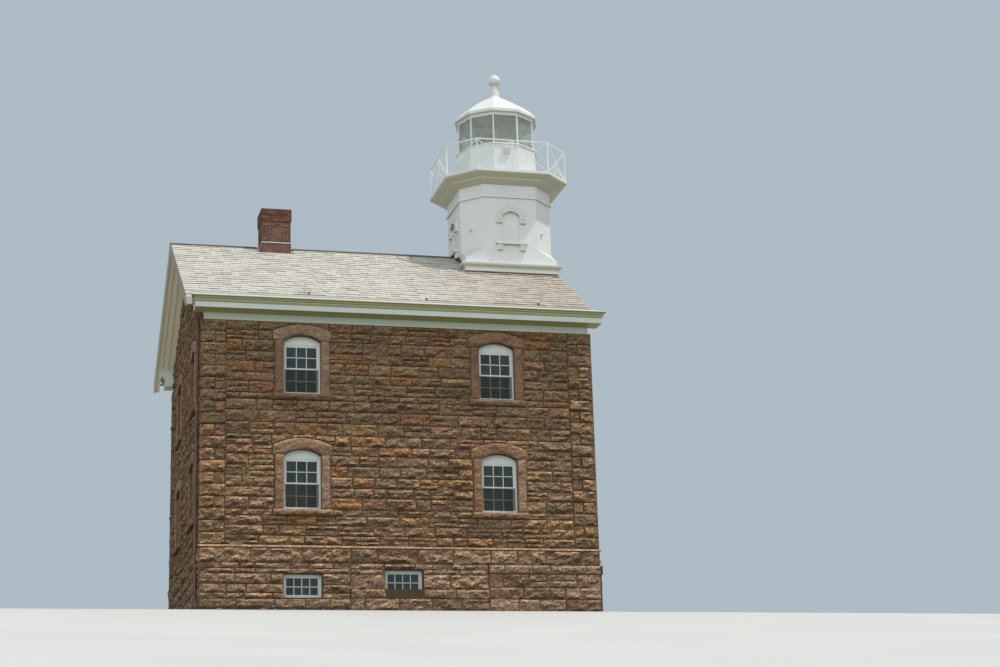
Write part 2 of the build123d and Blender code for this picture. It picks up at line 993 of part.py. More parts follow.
# Rake boards: a barge board and soffit boards on the left, a flush board on the right
def chevron(outer_reach, top_drop, bottom_drop, start, end):
    """Board that follows both slopes, between two drops below the slates."""
    outer = half_depth + outer_reach
    with BuildPart() as board:
        with BuildSketch(Plane.YZ.offset(start)):
            with BuildLine():
                Polyline(
                    (-outer, slate_height(outer) - top_drop),
                    (0, ridge_height - top_drop),
                    (outer, slate_height(outer) - top_drop),
                    (outer, slate_height(outer) - bottom_drop),
                    (0, ridge_height - bottom_drop),
                    (-outer, slate_height(outer) - bottom_drop),
                    close=True,
                )
            make_face()
        extrude(amount=end - start)
    return board.part


with BuildPart() as left_rake_boards:
    add(
        chevron(
            rake_slate_reach,
            slate_drop,
            roof_drop + rake_soffit_thickness + barge_drop,
            slate_left,
            rafter_left,
        )
    )
    add(
        chevron(
            rake_slate_reach,
            roof_drop,
            roof_drop + rake_soffit_thickness,
            rafter_left,
            -half_length,
        )
    )
    for hand in (-1, 1):
        with BuildSketch(Plane.XY):
            with Locations(((return_end - half_length) / 2, hand * (half_depth + crown_reach))):
                Rectangle(return_reach, 2 * crown_reach)
        extrude(amount=ridge_height, mode=Mode.SUBTRACT)
left_rake_boards.part.label = "left_rake_boards"

with BuildPart() as right_rake_boards:
    add(
        chevron(
            0,
            slate_drop,
            slate_drop + right_board_height,
            half_length,
            half_length + right_board_thickness,
        )
    )
    with BuildSketch(Plane.XY):
        with Locations((half_length, 0)):
            Rectangle(house_length, 2 * tower_half)
    extrude(amount=ridge_height, mode=Mode.SUBTRACT)
right_rake_boards.part.label = "right_rake_boards"

# Chimney: a square brick stack with one flue and a cap of corbelled courses
flue_width = chimney_width - 2 * chimney_wall
flue_depth = chimney_depth - 2 * chimney_wall
chimney_cap_bottom = chimney_top - chimney_cap_height
with BuildPart() as chimney_stack:
    with BuildSketch(Plane.XY.offset(cellar_floor_thickness)):
        with Locations((chimney_x, 0)):
            Rectangle(chimney_width, chimney_depth)
            Rectangle(flue_width, flue_depth, mode=Mode.SUBTRACT)
    extrude(amount=chimney_cap_bottom - cellar_floor_thickness)
chimney_stack.part.label = "chimney_stack"

with BuildPart() as chimney_cap:
    for level, share in ((1, 1.0), (2, corbel_share)):
        with BuildSketch(Plane.XY.offset(chimney_top)):
            with Locations((chimney_x, 0)):
                Rectangle(chimney_width + level * corbel_step, chimney_depth + level * corbel_step)
        extrude(amount=-chimney_cap_height * share)
    with BuildSketch(Plane.XY.offset(chimney_cap_bottom)):
        with Locations((chimney_x, 0)):
            Rectangle(flue_width, flue_depth)
    extrude(amount=chimney_cap_height, mode=Mode.SUBTRACT)
chimney_cap.part.label = "chimney_cap"

with BuildPart() as chimney_flashing:
    sleeve_width = chimney_width + 2 * flashing_thickness
    sleeve_depth = chimney_depth + 2 * flashing_thickness
    with BuildSketch(Plane.XY.offset(slate_height(chimney_depth))):
        with Locations((chimney_x, 0)):
            Rectangle(sleeve_width, sleeve_depth)
    extrude(amount=sleeve_top - slate_height(chimney_depth))
    add(
        roof_skin(
            flashing_thickness,
            chimney_depth / 2 + saddle_reach,
            chimney_left - saddle_reach,
            chimney_right + saddle_reach,
        )
    )
    with BuildSketch(Plane.XY):
        with Locations((chimney_x, 0)):
            Rectangle(chimney_width, chimney_depth)
    extrude(amount=chimney_top, mode=Mode.SUBTRACT)
    with BuildSketch(Plane.YZ.offset(chimney_left - 2 * saddle_reach)):
        with BuildLine():
            Polyline(
                (-half_depth, slate_height(half_depth)),
                (0, ridge_height),
                (half_depth, slate_height(half_depth)),
                close=True,
            )
        make_face()
    extrude(amount=chimney_width + 4 * saddle_reach, mode=Mode.SUBTRACT)
chimney_flashing.part.label = "chimney_flashing"


# Tower: a square pedestal that stands on the attic floor and the gable wall
def under_slates(start, end):
    """Everything below the slates' upper face, for cutting what dies into the roof."""
    with BuildPart() as block:
        with BuildSketch(Plane.YZ.offset(start)):
            with BuildLine():
                Polyline(
                    (-half_depth, slate_height(half_depth)),
                    (0, ridge_height),
                    (half_depth, slate_height(half_depth)),
                    (half_depth, 0),
                    (-half_depth, 0),
                    close=True,
                )
            make_face()
        extrude(amount=end - start)
    return block.part


def octagon(half, corner_cut):
    """Square of a half size with its four corners cut off, about the tower's centre."""
    with BuildSketch(Plane.XY) as outline:
        with Locations((tower_x, 0)):
            Rectangle(2 * half, 2 * half)
        chamfer(outline.vertices(), length=corner_cut)
    return outline.sketch


def crown_section():
    """Section right across the tower's crown: a fillet, a hollow-and-round and an edge."""
    bottom = pedestal_fillet_bottom + pedestal_fillet_height
    edge = pedestal_crown_top - pedestal_fillet_height / 3
    fillet = tower_half + pedestal_projection / 5
    outer = tower_half + pedestal_projection
    run = outer - fillet
    swell = run * crown_swell
    bend = (fillet + run / 2, (bottom + edge) / 2)
    with BuildSketch(Plane.XY) as section:
        with BuildLine():
            Polyline((0, pedestal_fillet_bottom), (fillet, pedestal_fillet_bottom), (fillet, bottom))
            ThreePointArc(
                (fillet, bottom),
                (fillet + run / 4 - swell, bottom + (edge - bottom) / 4 + swell),
                bend,
            )
            ThreePointArc(
                bend,
                (outer - run / 4 + swell, edge - (edge - bottom) / 4 - swell),
                (outer, edge),
            )
            Polyline(
                (outer, edge),
                (outer, pedestal_crown_top),
                (0, pedestal_crown_top),
                (0, pedestal_fillet_bottom),
            )
        make_face()
        mirror(about=Plane.YZ)
    return section.sketch


def square_crown():
    """Crown mitred at all four corners: its section run both ways and crossed."""
    with BuildPart() as crown:
        with BuildSketch(Plane(origin=(tower_x, 0, 0), x_dir=(1, 0, 0), z_dir=(0, -1, 0))):
            add(crown_section())
        extrude(amount=2 * tower_half, both=True)
        with BuildSketch(Plane(origin=(tower_x, 0, 0), x_dir=(0, 1, 0), z_dir=(1, 0, 0))):
            add(crown_section())
        extrude(amount=2 * tower_half, both=True, mode=Mode.INTERSECT)
    return crown.part


tower_roof_block = under_slates(slate_left, half_length)
with BuildPart() as tower_pedestal:
    add(square_crown())
    add(tower_roof_block, mode=Mode.SUBTRACT)
    with BuildSketch(Plane.XY.offset(attic_floor_top)):
        with Locations((tower_x, 0)):
            Rectangle(2 * tower_half, 2 * tower_half)
    extrude(amount=pedestal_crown_top - attic_floor_top)
    with BuildSketch(Plane.XY.offset(attic_floor_top)):
        with Locations((tower_x, 0)):
            Rectangle(2 * (tower_half - pedestal_wall), 2 * (tower_half - pedestal_wall))
    extrude(amount=pedestal_crown_top - attic_floor_top, mode=Mode.SUBTRACT)
    with BuildSketch(Plane.XY.offset(attic_floor_top)):
        with Locations((inner_half_length + tower_half, 0)):
            Rectangle(2 * tower_half, 4 * tower_half)
    extrude(amount=tower_seat - attic_floor_top, mode=Mode.SUBTRACT)
tower_pedestal.part.label = "tower_pedestal"

def tower_faces():
    """Planes on the four wide faces of the shaft: x across, y up, z outwards."""
    planes = []
    for turn in range(4):
        angle = math.pi / 2 * turn
        outward = Vector(math.sin(angle), -math.cos(angle), 0)
        across = Vector(math.cos(angle), math.sin(angle), 0)
        planes.append(
            Plane(origin=Vector(tower_x, 0, 0) + outward * tower_half, x_dir=across, z_dir=outward)
        )
    return planes


blind_outline = arched_outline(blind_width, blind_height, blind_rise)
# Shaft: square at its foot, broached to a chamfered square, with a blind window a side
with BuildPart() as tower_shaft:
    with BuildSketch(Plane.XY.offset(pedestal_crown_top)):
        with Locations((tower_x, 0)):
            Rectangle(2 * tower_half, 2 * tower_half)
    extrude(amount=shaft_top - pedestal_crown_top)
    corner_reach = tower_half * math.sqrt(2)
    chamfer_reach = corner_reach - tower_chamfer / math.sqrt(2)
    for turn in range(4):
        angle = math.radians(45 + 90 * turn)
        diagonal = Vector(math.cos(angle), math.sin(angle), 0)
        across = Vector(-math.sin(angle), math.cos(angle), 0)
        with BuildSketch(Plane(origin=(tower_x, 0, 0), x_dir=diagonal, z_dir=-across)):
            with BuildLine():
                Polyline(
                    (corner_reach, broach_bottom),
                    (corner_reach * 2, broach_bottom),
                    (corner_reach * 2, shaft_top),
                    (chamfer_reach, shaft_top),
                    (chamfer_reach, broach_top),
                    close=True,
                )
            make_face()
        extrude(amount=tower_half, both=True, mode=Mode.SUBTRACT)
    with BuildSketch(Plane.XY.offset(astragal_bottom)):
        add(octagon(tower_half + astragal_projection, tower_chamfer + astragal_projection * chamfer_share))
    extrude(amount=astragal_height)
    for face in tower_faces():
        blind_foot = face.from_local_coords(Vector(0, blind_sill_top, 0))
        with BuildSketch(Plane(origin=blind_foot, x_dir=face.x_dir, z_dir=face.z_dir)):
            add(blind_outline)
        extrude(amount=-blind_recess, mode=Mode.SUBTRACT)
    with BuildSketch(Plane.XY.offset(pedestal_crown_top)):
        add(octagon(tower_half - tower_wall, tower_chamfer - tower_wall * chamfer_share))
    extrude(amount=shaft_top - pedestal_crown_top, mode=Mode.SUBTRACT)
tower_shaft.part.label = "tower_shaft"

# Hood and sill of each blind window
hood_edge = hood_width / 2
leg_inner = blind_width / 2
with BuildPart() as tower_window_trim:
    for face in tower_faces():
        with BuildSketch(face):
            with BuildLine():
                Polyline(
                    (leg_inner, hood_bottom),
                    (hood_edge, hood_bottom),
                    *arch_points(hood_edge, hood_spring, hood_rise),
                    (-hood_edge, hood_bottom),
                    (-leg_inner, hood_bottom),
                    *reversed(arch_points(leg_inner, blind_spring, blind_rise)),
                    close=True,
                )
            make_face()
        extrude(amount=hood_projection)
        # Each leg ends in two blocks, the lower one wider and further out
        with BuildSketch(face):
            foot_at = (leg_inner + hood_edge + hood_lip) / 2
            foot_mid = hood_bottom + hood_block / 2
            with Locations((-foot_at, foot_mid), (foot_at, foot_mid)):
                Rectangle(hood_edge + hood_lip - leg_inner, hood_block)
        extrude(amount=hood_projection + hood_lip)
        with BuildSketch(face):
            leg_at = (leg_inner + hood_edge) / 2
            leg_mid = hood_bottom + 2 * hood_block
            with Locations((-leg_at, leg_mid), (leg_at, leg_mid)):
                Rectangle(hood_edge - leg_inner, hood_block)
        extrude(amount=hood_projection + hood_lip / 2)
        with BuildSketch(face):
            key_bottom = blind_spring + blind_rise
            with Locations((0, (key_bottom + keystone_top) / 2)):
                Trapezoid(keystone_width, keystone_top - key_bottom, keystone_lean)
        extrude(amount=hood_projection + 2 * hood_lip)
        with BuildSketch(face):
            with Locations((0, blind_sill_top - blind_sill_thickness / 2)):
                Rectangle(blind_sill_width, blind_sill_thickness)
        extrude(amount=blind_sill_projection)
        with BuildSketch(face):
            bracket_at = (hood_width - bracket_width) / 2
            bracket_mid = blind_sill_top - blind_sill_thickness - bracket_height / 2
            with Locations((-bracket_at, bracket_mid), (bracket_at, bracket_mid)):
                Rectangle(bracket_width, bracket_height)
        extrude(amount=bracket_projection)
tower_window_trim.part.label = "tower_window_trim"

# Copper where the pedestal meets the slates: stepped up the left side, aprons below
copper_reach = tower_half + flashing_thickness
step_run = copper_reach / flashing_steps
with BuildPart() as tower_flashing:
    with BuildSketch(Plane.YZ.offset(tower_left - flashing_thickness)):
        for index in range(flashing_steps):
            step_top = slate_height(index * step_run) + flashing_upstand
            step_foot = slate_height((index + 1) * step_run) - slate_drop
            for hand in (-1, 1):
                with Locations((hand * (2 * index + 1) * step_run / 2, (step_top + step_foot) / 2)):
                    Rectangle(step_run, step_top - step_foot)
    extrude(amount=flashing_thickness)
    for hand in (-1, 1):
        apron_top = slate_height(tower_half) + flashing_upstand
        with BuildSketch(Plane.YZ.offset(tower_left - flashing_thickness)):
            with Locations((hand * (tower_half + flashing_thickness / 2), apron_top - flashing_upstand)):
                Rectangle(flashing_thickness, 2 * flashing_upstand)
        extrude(amount=half_length - tower_left + flashing_thickness)
        with BuildSketch(Plane.YZ.offset(tower_left - apron_lip)):
            with BuildLine():
                Polyline(
                    (hand * tower_half, slate_height(tower_half)),
                    (hand * (tower_half + apron_reach), slate_height(tower_half + apron_reach)),
                    (
                        hand * (tower_half + apron_reach),
                        slate_height(tower_half + apron_reach) + flashing_thickness,
                    ),
                    (hand * tower_half, slate_height(tower_half) + flashing_thickness),
                    close=True,
                )
            make_face()
        extrude(amount=slate_right - tower_left + apron_lip)
    add(under_slates(slate_left, slate_right), mode=Mode.SUBTRACT)
    add(tower_pedestal.part, mode=Mode.SUBTRACT)
    add(tower_window_trim.part, mode=Mode.SUBTRACT)
tower_flashing.part.label = "tower_flashing"

# Gallery: a stepped soffit, the deck and its railing
def octagon_ring_loft(levels):
    """Stack of tapering octagons between the given (height, outward reach) pairs."""
    with BuildPart() as stack:
        for (low_z, low_out), (high_z, high_out) in zip(levels, levels[1:]):
            if high_z == low_z:
                continue
            with BuildSketch(Plane.XY.offset(low_z)):
                add(octagon(tower_half + low_out, tower_chamfer + low_out * chamfer_growth))
            with BuildSketch(Plane.XY.offset(high_z)):
                add(octagon(tower_half + high_out, tower_chamfer + high_out * chamfer_growth))
            loft(ruled=True)
    return stack.part


soffit_middle = shaft_top + soffit_mid_rise
deck_out = deck_half - tower_half
chamfer_growth = (deck_chamfer - tower_chamfer) / deck_out
outer_soffit = deck_out - soffit_outer_inset
with BuildPart() as gallery_soffit:
    add(
        octagon_ring_loft(
            (
                (shaft_top, astragal_projection / 2),
                (soffit_middle, soffit_mid_reach),
                (soffit_middle + soffit_step, soffit_mid_reach),
                (deck_bottom, outer_soffit),
            )
        )
    )
    with BuildSketch(Plane.XY.offset(shaft_top)):
        add(octagon(tower_half - cornice_wall, tower_chamfer - cornice_wall * chamfer_share))
    extrude(amount=deck_bottom - shaft_top, mode=Mode.SUBTRACT)
gallery_soffit.part.label = "gallery_soffit"

with BuildPart() as gallery_deck:
    with BuildSketch(Plane.XY.offset(deck_bottom)):
        add(octagon(deck_half, deck_chamfer))
    extrude(amount=deck_thickness)
    edges_low = gallery_deck.edges().group_by(Axis.Z)[0]
    chamfer(edges_low, length=deck_thickness / 4)
gallery_deck.part.label = "gallery_deck"

rail_half = deck_half - rail_inset
rail_chamfer = deck_chamfer - rail_inset * chamfer_share
rail_corners = [
    Vector(tower_x + sx * x, sy * y, deck_top)
    for sx, sy, x, y in (
        (-1, -1, rail_half - rail_chamfer, rail_half),
        (1, -1, rail_half - rail_chamfer, rail_half),
        (1, -1, rail_half, rail_half - rail_chamfer),
        (1, 1, rail_half, rail_half - rail_chamfer),
        (1, 1, rail_half - rail_chamfer, rail_half),
        (-1, 1, rail_half - rail_chamfer, rail_half),
        (-1, 1, rail_half, rail_half - rail_chamfer),
        (-1, -1, rail_half, rail_half - rail_chamfer),
    )
]


def corner_post(index):
    """Square of a corner post, turned to face straight out from its corner."""
    corner = rail_corners[index]
    before = (corner - rail_corners[index - 1]).normalized()
    after = (rail_corners[(index + 1) % len(rail_corners)] - corner).normalized()
    outward = before - after
    with BuildSketch(Plane(origin=corner)) as section:
        Rectangle(post_size, post_size, rotation=math.degrees(math.atan2(outward.Y, outward.X)))
    return section.sketch


def railing_side(start, end, bays):
    """Top rail, middle posts and crossed braces between two corner posts."""
    run = (end - start).length
    along = (end - start).normalized()
    outward = Vector(along.Y, -along.X, 0)
    plane = Plane(origin=start, x_dir=along, z_dir=outward)
    near = post_size / 3
    far = run - near
    bay = run / bays
    top = rail_height - rail_size
    with BuildPart() as side:
        with BuildSketch(plane.offset(-rail_size / 2)):
            with Locations((run / 2, rail_height - rail_size / 2)):
                Rectangle(far - near, rail_size)
            for index in range(1, bays):
                with Locations((index * bay, top / 2)):
                    Rectangle(post_size, top)
        extrude(amount=rail_size)
        with BuildSketch(plane.offset(-brace_size / 2)):
            for index in range(bays):
                left = index * bay + near
                right = (index + 1) * bay - near
                for low, high in ((left, right), (right, left)):
                    lean = math.copysign(brace_size, high - low)
                    with BuildLine():
                        Polyline(
                            (low, 0),
                            (low + lean, 0),
                            (high, top - brace_size),
                            (high, top),
                            (high - lean, top),
                            (low, brace_size),
                            close=True,
                        )
                    make_face()
        extrude(amount=brace_size)
    return side.part


def railing_pair(first, bays):
    """The four like sides of the railing, starting from one corner."""
    sides = []
    count = len(rail_corners)
    for index in range(first, count, 2):
        sides.append(railing_side(rail_corners[index], rail_corners[(index + 1) % count], bays))
    return sides


with BuildPart() as railing_posts:
    for index in range(len(rail_corners)):
        with BuildSketch(Plane.XY.offset(deck_top)):
            add(corner_post(index))
        extrude(amount=rail_height)
railing_posts.part.label = "railing_posts"

railing_names = ("front", "right", "back", "left")
railing_parts = {}
for name, piece in zip(railing_names, railing_pair(0, 2)):
    with BuildPart() as railing_wide:
        add(piece)
        add(railing_posts.part, mode=Mode.SUBTRACT)
    railing_parts["railing_" + name] = railing_wide.part

with BuildPart() as railing_corners:
    for piece in railing_pair(1, 1):
        add(piece)
    add(railing_posts.part, mode=Mode.SUBTRACT)
railing_corners.part.label = "railing_corners"


# Lantern: a ten-sided parapet, glazing, roof and ventilator
first_corner = 180 / lantern_sides - 90
def lantern_polygon(radius, sides=lantern_sides):
    """Many-sided outline about the tower's centre, with a flat side to the front."""
    with BuildSketch(Plane.XY) as outline:
        with Locations((tower_x, 0)):
            RegularPolygon(radius, sides, rotation=180 / sides - 90)
    return outline.sketch


sill_bottom = glass_sill_height - lantern_sill_thickness
vent_top = sill_bottom - vent_drop
vent_bottom = vent_top - vent_height
vent_chin = vent_projection / 3
with BuildPart() as lantern_parapet:
    with BuildSketch(Plane.XY.offset(deck_top)):
        add(lantern_polygon(parapet_radius))
        add(lantern_polygon(parapet_radius - parapet_thickness), mode=Mode.SUBTRACT)
    extrude(amount=sill_bottom - deck_top)
    for hand in (-1, 1):
        face_y = hand * parapet_radius * lantern_flat
        with BuildSketch(Plane.YZ.offset(tower_x - vent_width / 2)):
            with BuildLine():
                Polyline(
                    (face_y, vent_bottom),
                    (face_y + hand * vent_chin, vent_bottom),
                    (face_y + hand * vent_projection, vent_top - 3 * vent_chin),
                    (face_y + hand * vent_projection, vent_top - vent_chin),
                    (face_y, vent_top),
                    close=True,
                )
            make_face()
        extrude(amount=vent_width)
lantern_parapet.part.label = "lantern_parapet"

with BuildPart() as lantern_frame:
    with BuildSketch(Plane.XY.offset(sill_bottom)):
        add(lantern_polygon(parapet_radius + lantern_sill_lip))
        add(lantern_polygon(parapet_radius - parapet_thickness - lantern_sill_lip), mode=Mode.SUBTRACT)
    extrude(amount=lantern_sill_thickness)
    top_outer = lantern_frame.edges().group_by(Axis.Z)[-1].sort_by(Edge.length)[-lantern_sides:]
    chamfer(top_outer, length=lantern_sill_thickness / 2)
    with BuildSketch(Plane.XY.offset(glass_sill_height)):
        with Locations((tower_x, 0)):
            mullion_ring = lantern_radius - mullion_depth / 2
            with PolarLocations(mullion_ring, lantern_sides, start_angle=first_corner):
                Rectangle(mullion_depth, mullion_width)
    extrude(amount=glazing_top - glass_sill_height)
    with BuildSketch(Plane.XY.offset(glazing_top)):
        add(lantern_polygon(lantern_radius))
        add(lantern_polygon(lantern_radius - mullion_depth), mode=Mode.SUBTRACT)
    extrude(amount=header_height)
lantern_frame.part.label = "lantern_frame"

with BuildPart() as lantern_glass:
    with BuildSketch(Plane.XY.offset(glass_sill_height)):
        add(lantern_polygon(lantern_radius - mullion_depth / 2 + pane_thickness / 2))
        add(lantern_polygon(lantern_radius - mullion_depth / 2 - pane_thickness / 2), mode=Mode.SUBTRACT)
    extrude(amount=glazing_top - glass_sill_height)
    add(lantern_frame.part, mode=Mode.SUBTRACT)
lantern_glass.part.label = "lantern_glass"

def roof_radius(share):
    """Corner radius of the domed lantern roof at a share of its rise."""
    straight = eave_radius + (drum_flare - eave_radius) * share
    return straight + lantern_roof_bulge * 4 * share * (1 - share)


def tapered(low, high, sides=lantern_sides):
    """Many-sided frustum between two levels, each a height and a corner radius."""
    rise = high[0] - low[0]
    lean = math.degrees(math.atan((low[1] - high[1]) * math.cos(math.pi / sides) / rise))
    with BuildPart() as frustum:
        with BuildSketch(Plane.XY.offset(low[0])):
            add(lantern_polygon(low[1], sides))
        extrude(amount=rise, taper=lean)
    return frustum.part


with BuildPart() as lantern_roof:
    with BuildSketch(Plane.XY.offset(roof_seat)):
        add(lantern_polygon(eave_radius))
    extrude(amount=eave_height - roof_seat)
    shares = [index / lantern_roof_steps for index in range(lantern_roof_steps + 1)]
    outer_levels = [(eave_height + share * lantern_roof_rise, roof_radius(share)) for share in shares]
    for low, high in zip(outer_levels, outer_levels[1:]):
        add(tapered(low, high))
    # The hollow under it keeps the shell one thickness all the way up
    inner_levels = [(roof_seat, lantern_radius - mullion_depth)]
    for share in shares[1:-1]:
        level = eave_height + share * lantern_roof_rise
        inner_levels.append((level, roof_radius(share) - 2 * lantern_roof_shell))
    inner_levels.append((lantern_roof_top - lantern_roof_shell, drum_flare))
    for low, high in zip(inner_levels, inner_levels[1:]):
        add(tapered(low, high), mode=Mode.SUBTRACT)
lantern_roof.part.label = "lantern_roof"

# Ventilator: a flared foot, a drum, a neck, a ball and a spike, of many-sided frustums
ball_foot = -math.acos(neck_radius / ball_radius)
ball_crown = math.acos(spike_radius / ball_radius)
ball_turns = [ball_foot + (ball_crown - ball_foot) * index / ball_bands for index in range(ball_bands + 1)]
ventilator_levels = [
    (lantern_roof_top, drum_flare),
    (lantern_roof_top + drum_flare - drum_radius, drum_radius),
    (drum_top, drum_radius),
    (drum_top + neck_radius, neck_radius),
]
for turn in ball_turns:
    ventilator_levels.append((ball_height + ball_radius * math.sin(turn), ball_radius * math.cos(turn)))
ventilator_levels.append((ball_height + ball_radius + spike_height, spike_tip))
with BuildPart() as ventilator:
    for low, high in zip(ventilator_levels, ventilator_levels[1:]):
        add(tapered(low, high, ventilator_sides))
ventilator.part.label = "ventilator"

# Rainwater pipe at the front left corner, from the cornice return to the footing
pipe_x = -half_length - plinth_projection - footing_projection / 2 - pipe_radius
pipe_y = -half_depth + pipe_corner_distance
with BuildPart() as rainwater_pipe:
    with BuildSketch(Plane.XY.offset(footing_low)):
        with Locations((pipe_x, pipe_y)):
            Circle(pipe_radius)
    extrude(amount=soffit_height - footing_low)
    with BuildSketch(Plane.XY.offset(soffit_height - pipe_head_height)):
        with Locations((pipe_x, pipe_y)):
            Rectangle(pipe_head_size, pipe_head_size)
    extrude(amount=pipe_head_height, taper=-pipe_head_taper)
    for index in range(strap_count):
        level = soffit_height - pipe_head_height - strap_drop - index * strap_pitch
        with BuildSketch(Plane.XY.offset(level)):
            with Locations(((pipe_x - half_length) / 2, pipe_y)):
                Rectangle(-half_length - pipe_x, 2 * pipe_radius + strap_height)
        extrude(amount=strap_height)
rainwater_pipe.part.label = "rainwater_pipe"

for solid in (
    foundation_front,
    foundation_back,
    foundation_left,
    foundation_right,
    front_wall,
    back_wall,
    left_gable_wall,
    right_gable_wall,
    window_lintels,
    window_jambs,
    window_sills,
    window_frames,
    upper_sashes,
    lower_sashes,
    window_glass,
    door_frame,
    entrance_door,
    door_stoop,
    cellar_floor,
    ground_floor,
    upper_floor,
    attic_floor,
    roof_front,
    roof_back,
    ridge_cap,
    front_cornice,
    back_cornice,
    left_rake_boards,
    right_rake_boards,
    chimney_stack,
    chimney_cap,
    chimney_flashing,
    tower_pedestal,
    tower_flashing,
    tower_shaft,
    tower_window_trim,
    gallery_soffit,
    gallery_deck,
    railing_posts,
    railing_corners,
    lantern_parapet,
    lantern_frame,
    lantern_glass,
    lantern_roof,
    ventilator,
    rainwater_pipe,
):
    export_step(solid.part, "parts/" + solid.part.label + ".step")
for name, piece in railing_parts.items():
    piece.label = name
    export_step(piece, "parts/" + name + ".step")
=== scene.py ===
import math
import random

import bpy
from mathutils import Matrix, Vector, noise


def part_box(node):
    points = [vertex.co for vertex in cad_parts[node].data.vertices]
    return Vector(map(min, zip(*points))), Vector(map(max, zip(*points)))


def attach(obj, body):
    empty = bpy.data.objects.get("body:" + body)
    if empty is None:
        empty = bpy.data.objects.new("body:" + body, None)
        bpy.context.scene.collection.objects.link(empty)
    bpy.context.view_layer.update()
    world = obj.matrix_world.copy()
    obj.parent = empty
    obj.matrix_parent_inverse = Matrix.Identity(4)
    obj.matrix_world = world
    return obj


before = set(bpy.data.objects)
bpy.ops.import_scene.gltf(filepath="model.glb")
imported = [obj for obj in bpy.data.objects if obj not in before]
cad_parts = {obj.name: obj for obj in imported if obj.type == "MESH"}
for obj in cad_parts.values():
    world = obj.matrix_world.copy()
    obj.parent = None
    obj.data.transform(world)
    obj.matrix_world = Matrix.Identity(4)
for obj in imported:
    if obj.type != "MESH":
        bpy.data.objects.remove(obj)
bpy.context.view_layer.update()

# Sizes in metres, read from the frame where a node gives them
wall_low, wall_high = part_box("front_wall")
deck_low, deck_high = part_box("gallery_deck")
frame_low, frame_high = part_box("lantern_frame")
cap_low, cap_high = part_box("chimney_cap")
stack_low, stack_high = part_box("chimney_stack")
slate_low, slate_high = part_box("roof_front")
HALF_LENGTH = wall_high[0]
HALF_DEPTH = -wall_low[1]
BASE_TOP = wall_low[2]
FOUNDATION_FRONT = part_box("foundation_front")[0][1]
FRIEZE_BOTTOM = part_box("front_cornice")[0][2]
TOWER_LEFT = 2.405
TOWER_X = (deck_low[0] + deck_high[0]) / 2
TOWER_HALF = TOWER_X - TOWER_LEFT
LANTERN_RADIUS = 1.123
BRACE_INSET = 0.1
BRACE_SPREAD = 0.94

# Roof slopes, slates and eaves
RIDGE = slate_high[2]
ROOF_PITCH = 0.6234
ROOF_COSINE = 1 / math.sqrt(1 + ROOF_PITCH**2)
ROOF_SINE = ROOF_PITCH * ROOF_COSINE
ROOF_THICKNESS = 0.15
RAKE_SOFFIT = 0.022
RAKE_END = -HALF_LENGTH - 0.362
RAKE_SLOPE = -slate_low[1] / ROOF_COSINE
EAVE_SLOPE = (HALF_DEPTH + 0.285) / ROOF_COSINE
BATTEN_REACHES = (0.17, 0.33)
SLATE_EXPOSURE = 0.205
SLATE_LAP = 0.03
SLATE_LIFT = 0.02
SLATE_EDGE = 0.013
SLATE_GAP = 0.003
SLATE_WIDTHS = (0.2, 0.31)
SLATE_SHIFT = 0.2
SLATE_WANDER = (-0.013, 0.009)
SLATE_FIRST = 0.09
SLATE_LEAST = 0.03
SOFFIT_RISE = 0.169
FASCIA_HEIGHT = 0.195
CROWN_RUN = 0.11
HOOK_COLUMNS = (-2.369, 0.677, 3.654)
HOOK_LEVEL = Vector((0, -3.99, 7.998))

# Chimney
CHIMNEY = Vector(((cap_low[0] + cap_high[0]) / 2, 0, 0))
CAP_HALF = (cap_high[0] - cap_low[0]) / 2
STACK_HALF = (stack_high[0] - stack_low[0]) / 2
BRICK_LENGTH = 0.2
BRICK_RISE = 0.0682
BRICK_JOINT = 0.01
BRICK_LEAST = 0.03
BRICKS_BELOW_RIDGE = 0.28

# Windows and door: their places on the walls, their dressed stones and their sashes
WINDOW_COLUMN = 2.52
GABLE_COLUMN = 1.75
WINDOW_WIDTH = 0.94
SILL_HEIGHTS = (2.495, 5.425)
SPRING_RISE = 1.368
ARCH_RISE = 0.15
JAMB_WIDTH = 0.217
LINTEL_HALF = 0.743
LINTEL_DEPTH = 0.278
LINTEL_ARCH = 0.188
LINTEL_EARS = ARCH_RISE + LINTEL_DEPTH - LINTEL_ARCH
SILL_HALF = 0.745
SILL_THICKNESS = 0.16
DOOR_SILL = 1.85
DOOR_SILL_EARS = 0.09
DOOR_WIDTH = 1.0
DOOR_RISE = SILL_HEIGHTS[0] + SPRING_RISE - DOOR_SILL
CELLAR_WIDTH = 0.96
CELLAR_HEIGHT = 0.59
CELLAR_WINDOWS = ((-WINDOW_COLUMN, 0.31), (0.0, 0.43))
FRAME_WIDTH = 0.04
HEAD_WIDTH = 0.085
STILE_WIDTH = 0.048
MEETING_RAIL = (FRAME_WIDTH + SPRING_RISE - HEAD_WIDTH) / 2
UPPER_SASH_DEPTH = 0.155
SASH_STEP = 0.044
CELLAR_SASH_DEPTH = 0.1775
BAR_WIDTH = 0.02
BAR_DEPTH = 0.026
BAR_PROUD = 0.007
TRIM_PROUD = 0.042
TRIM_GAP = 0.004
SILL_PROUD = 0.07
JAMB_RELIEF = 0.026
SILL_RELIEF = 0.055
LINTEL_RELIEF = 0.028

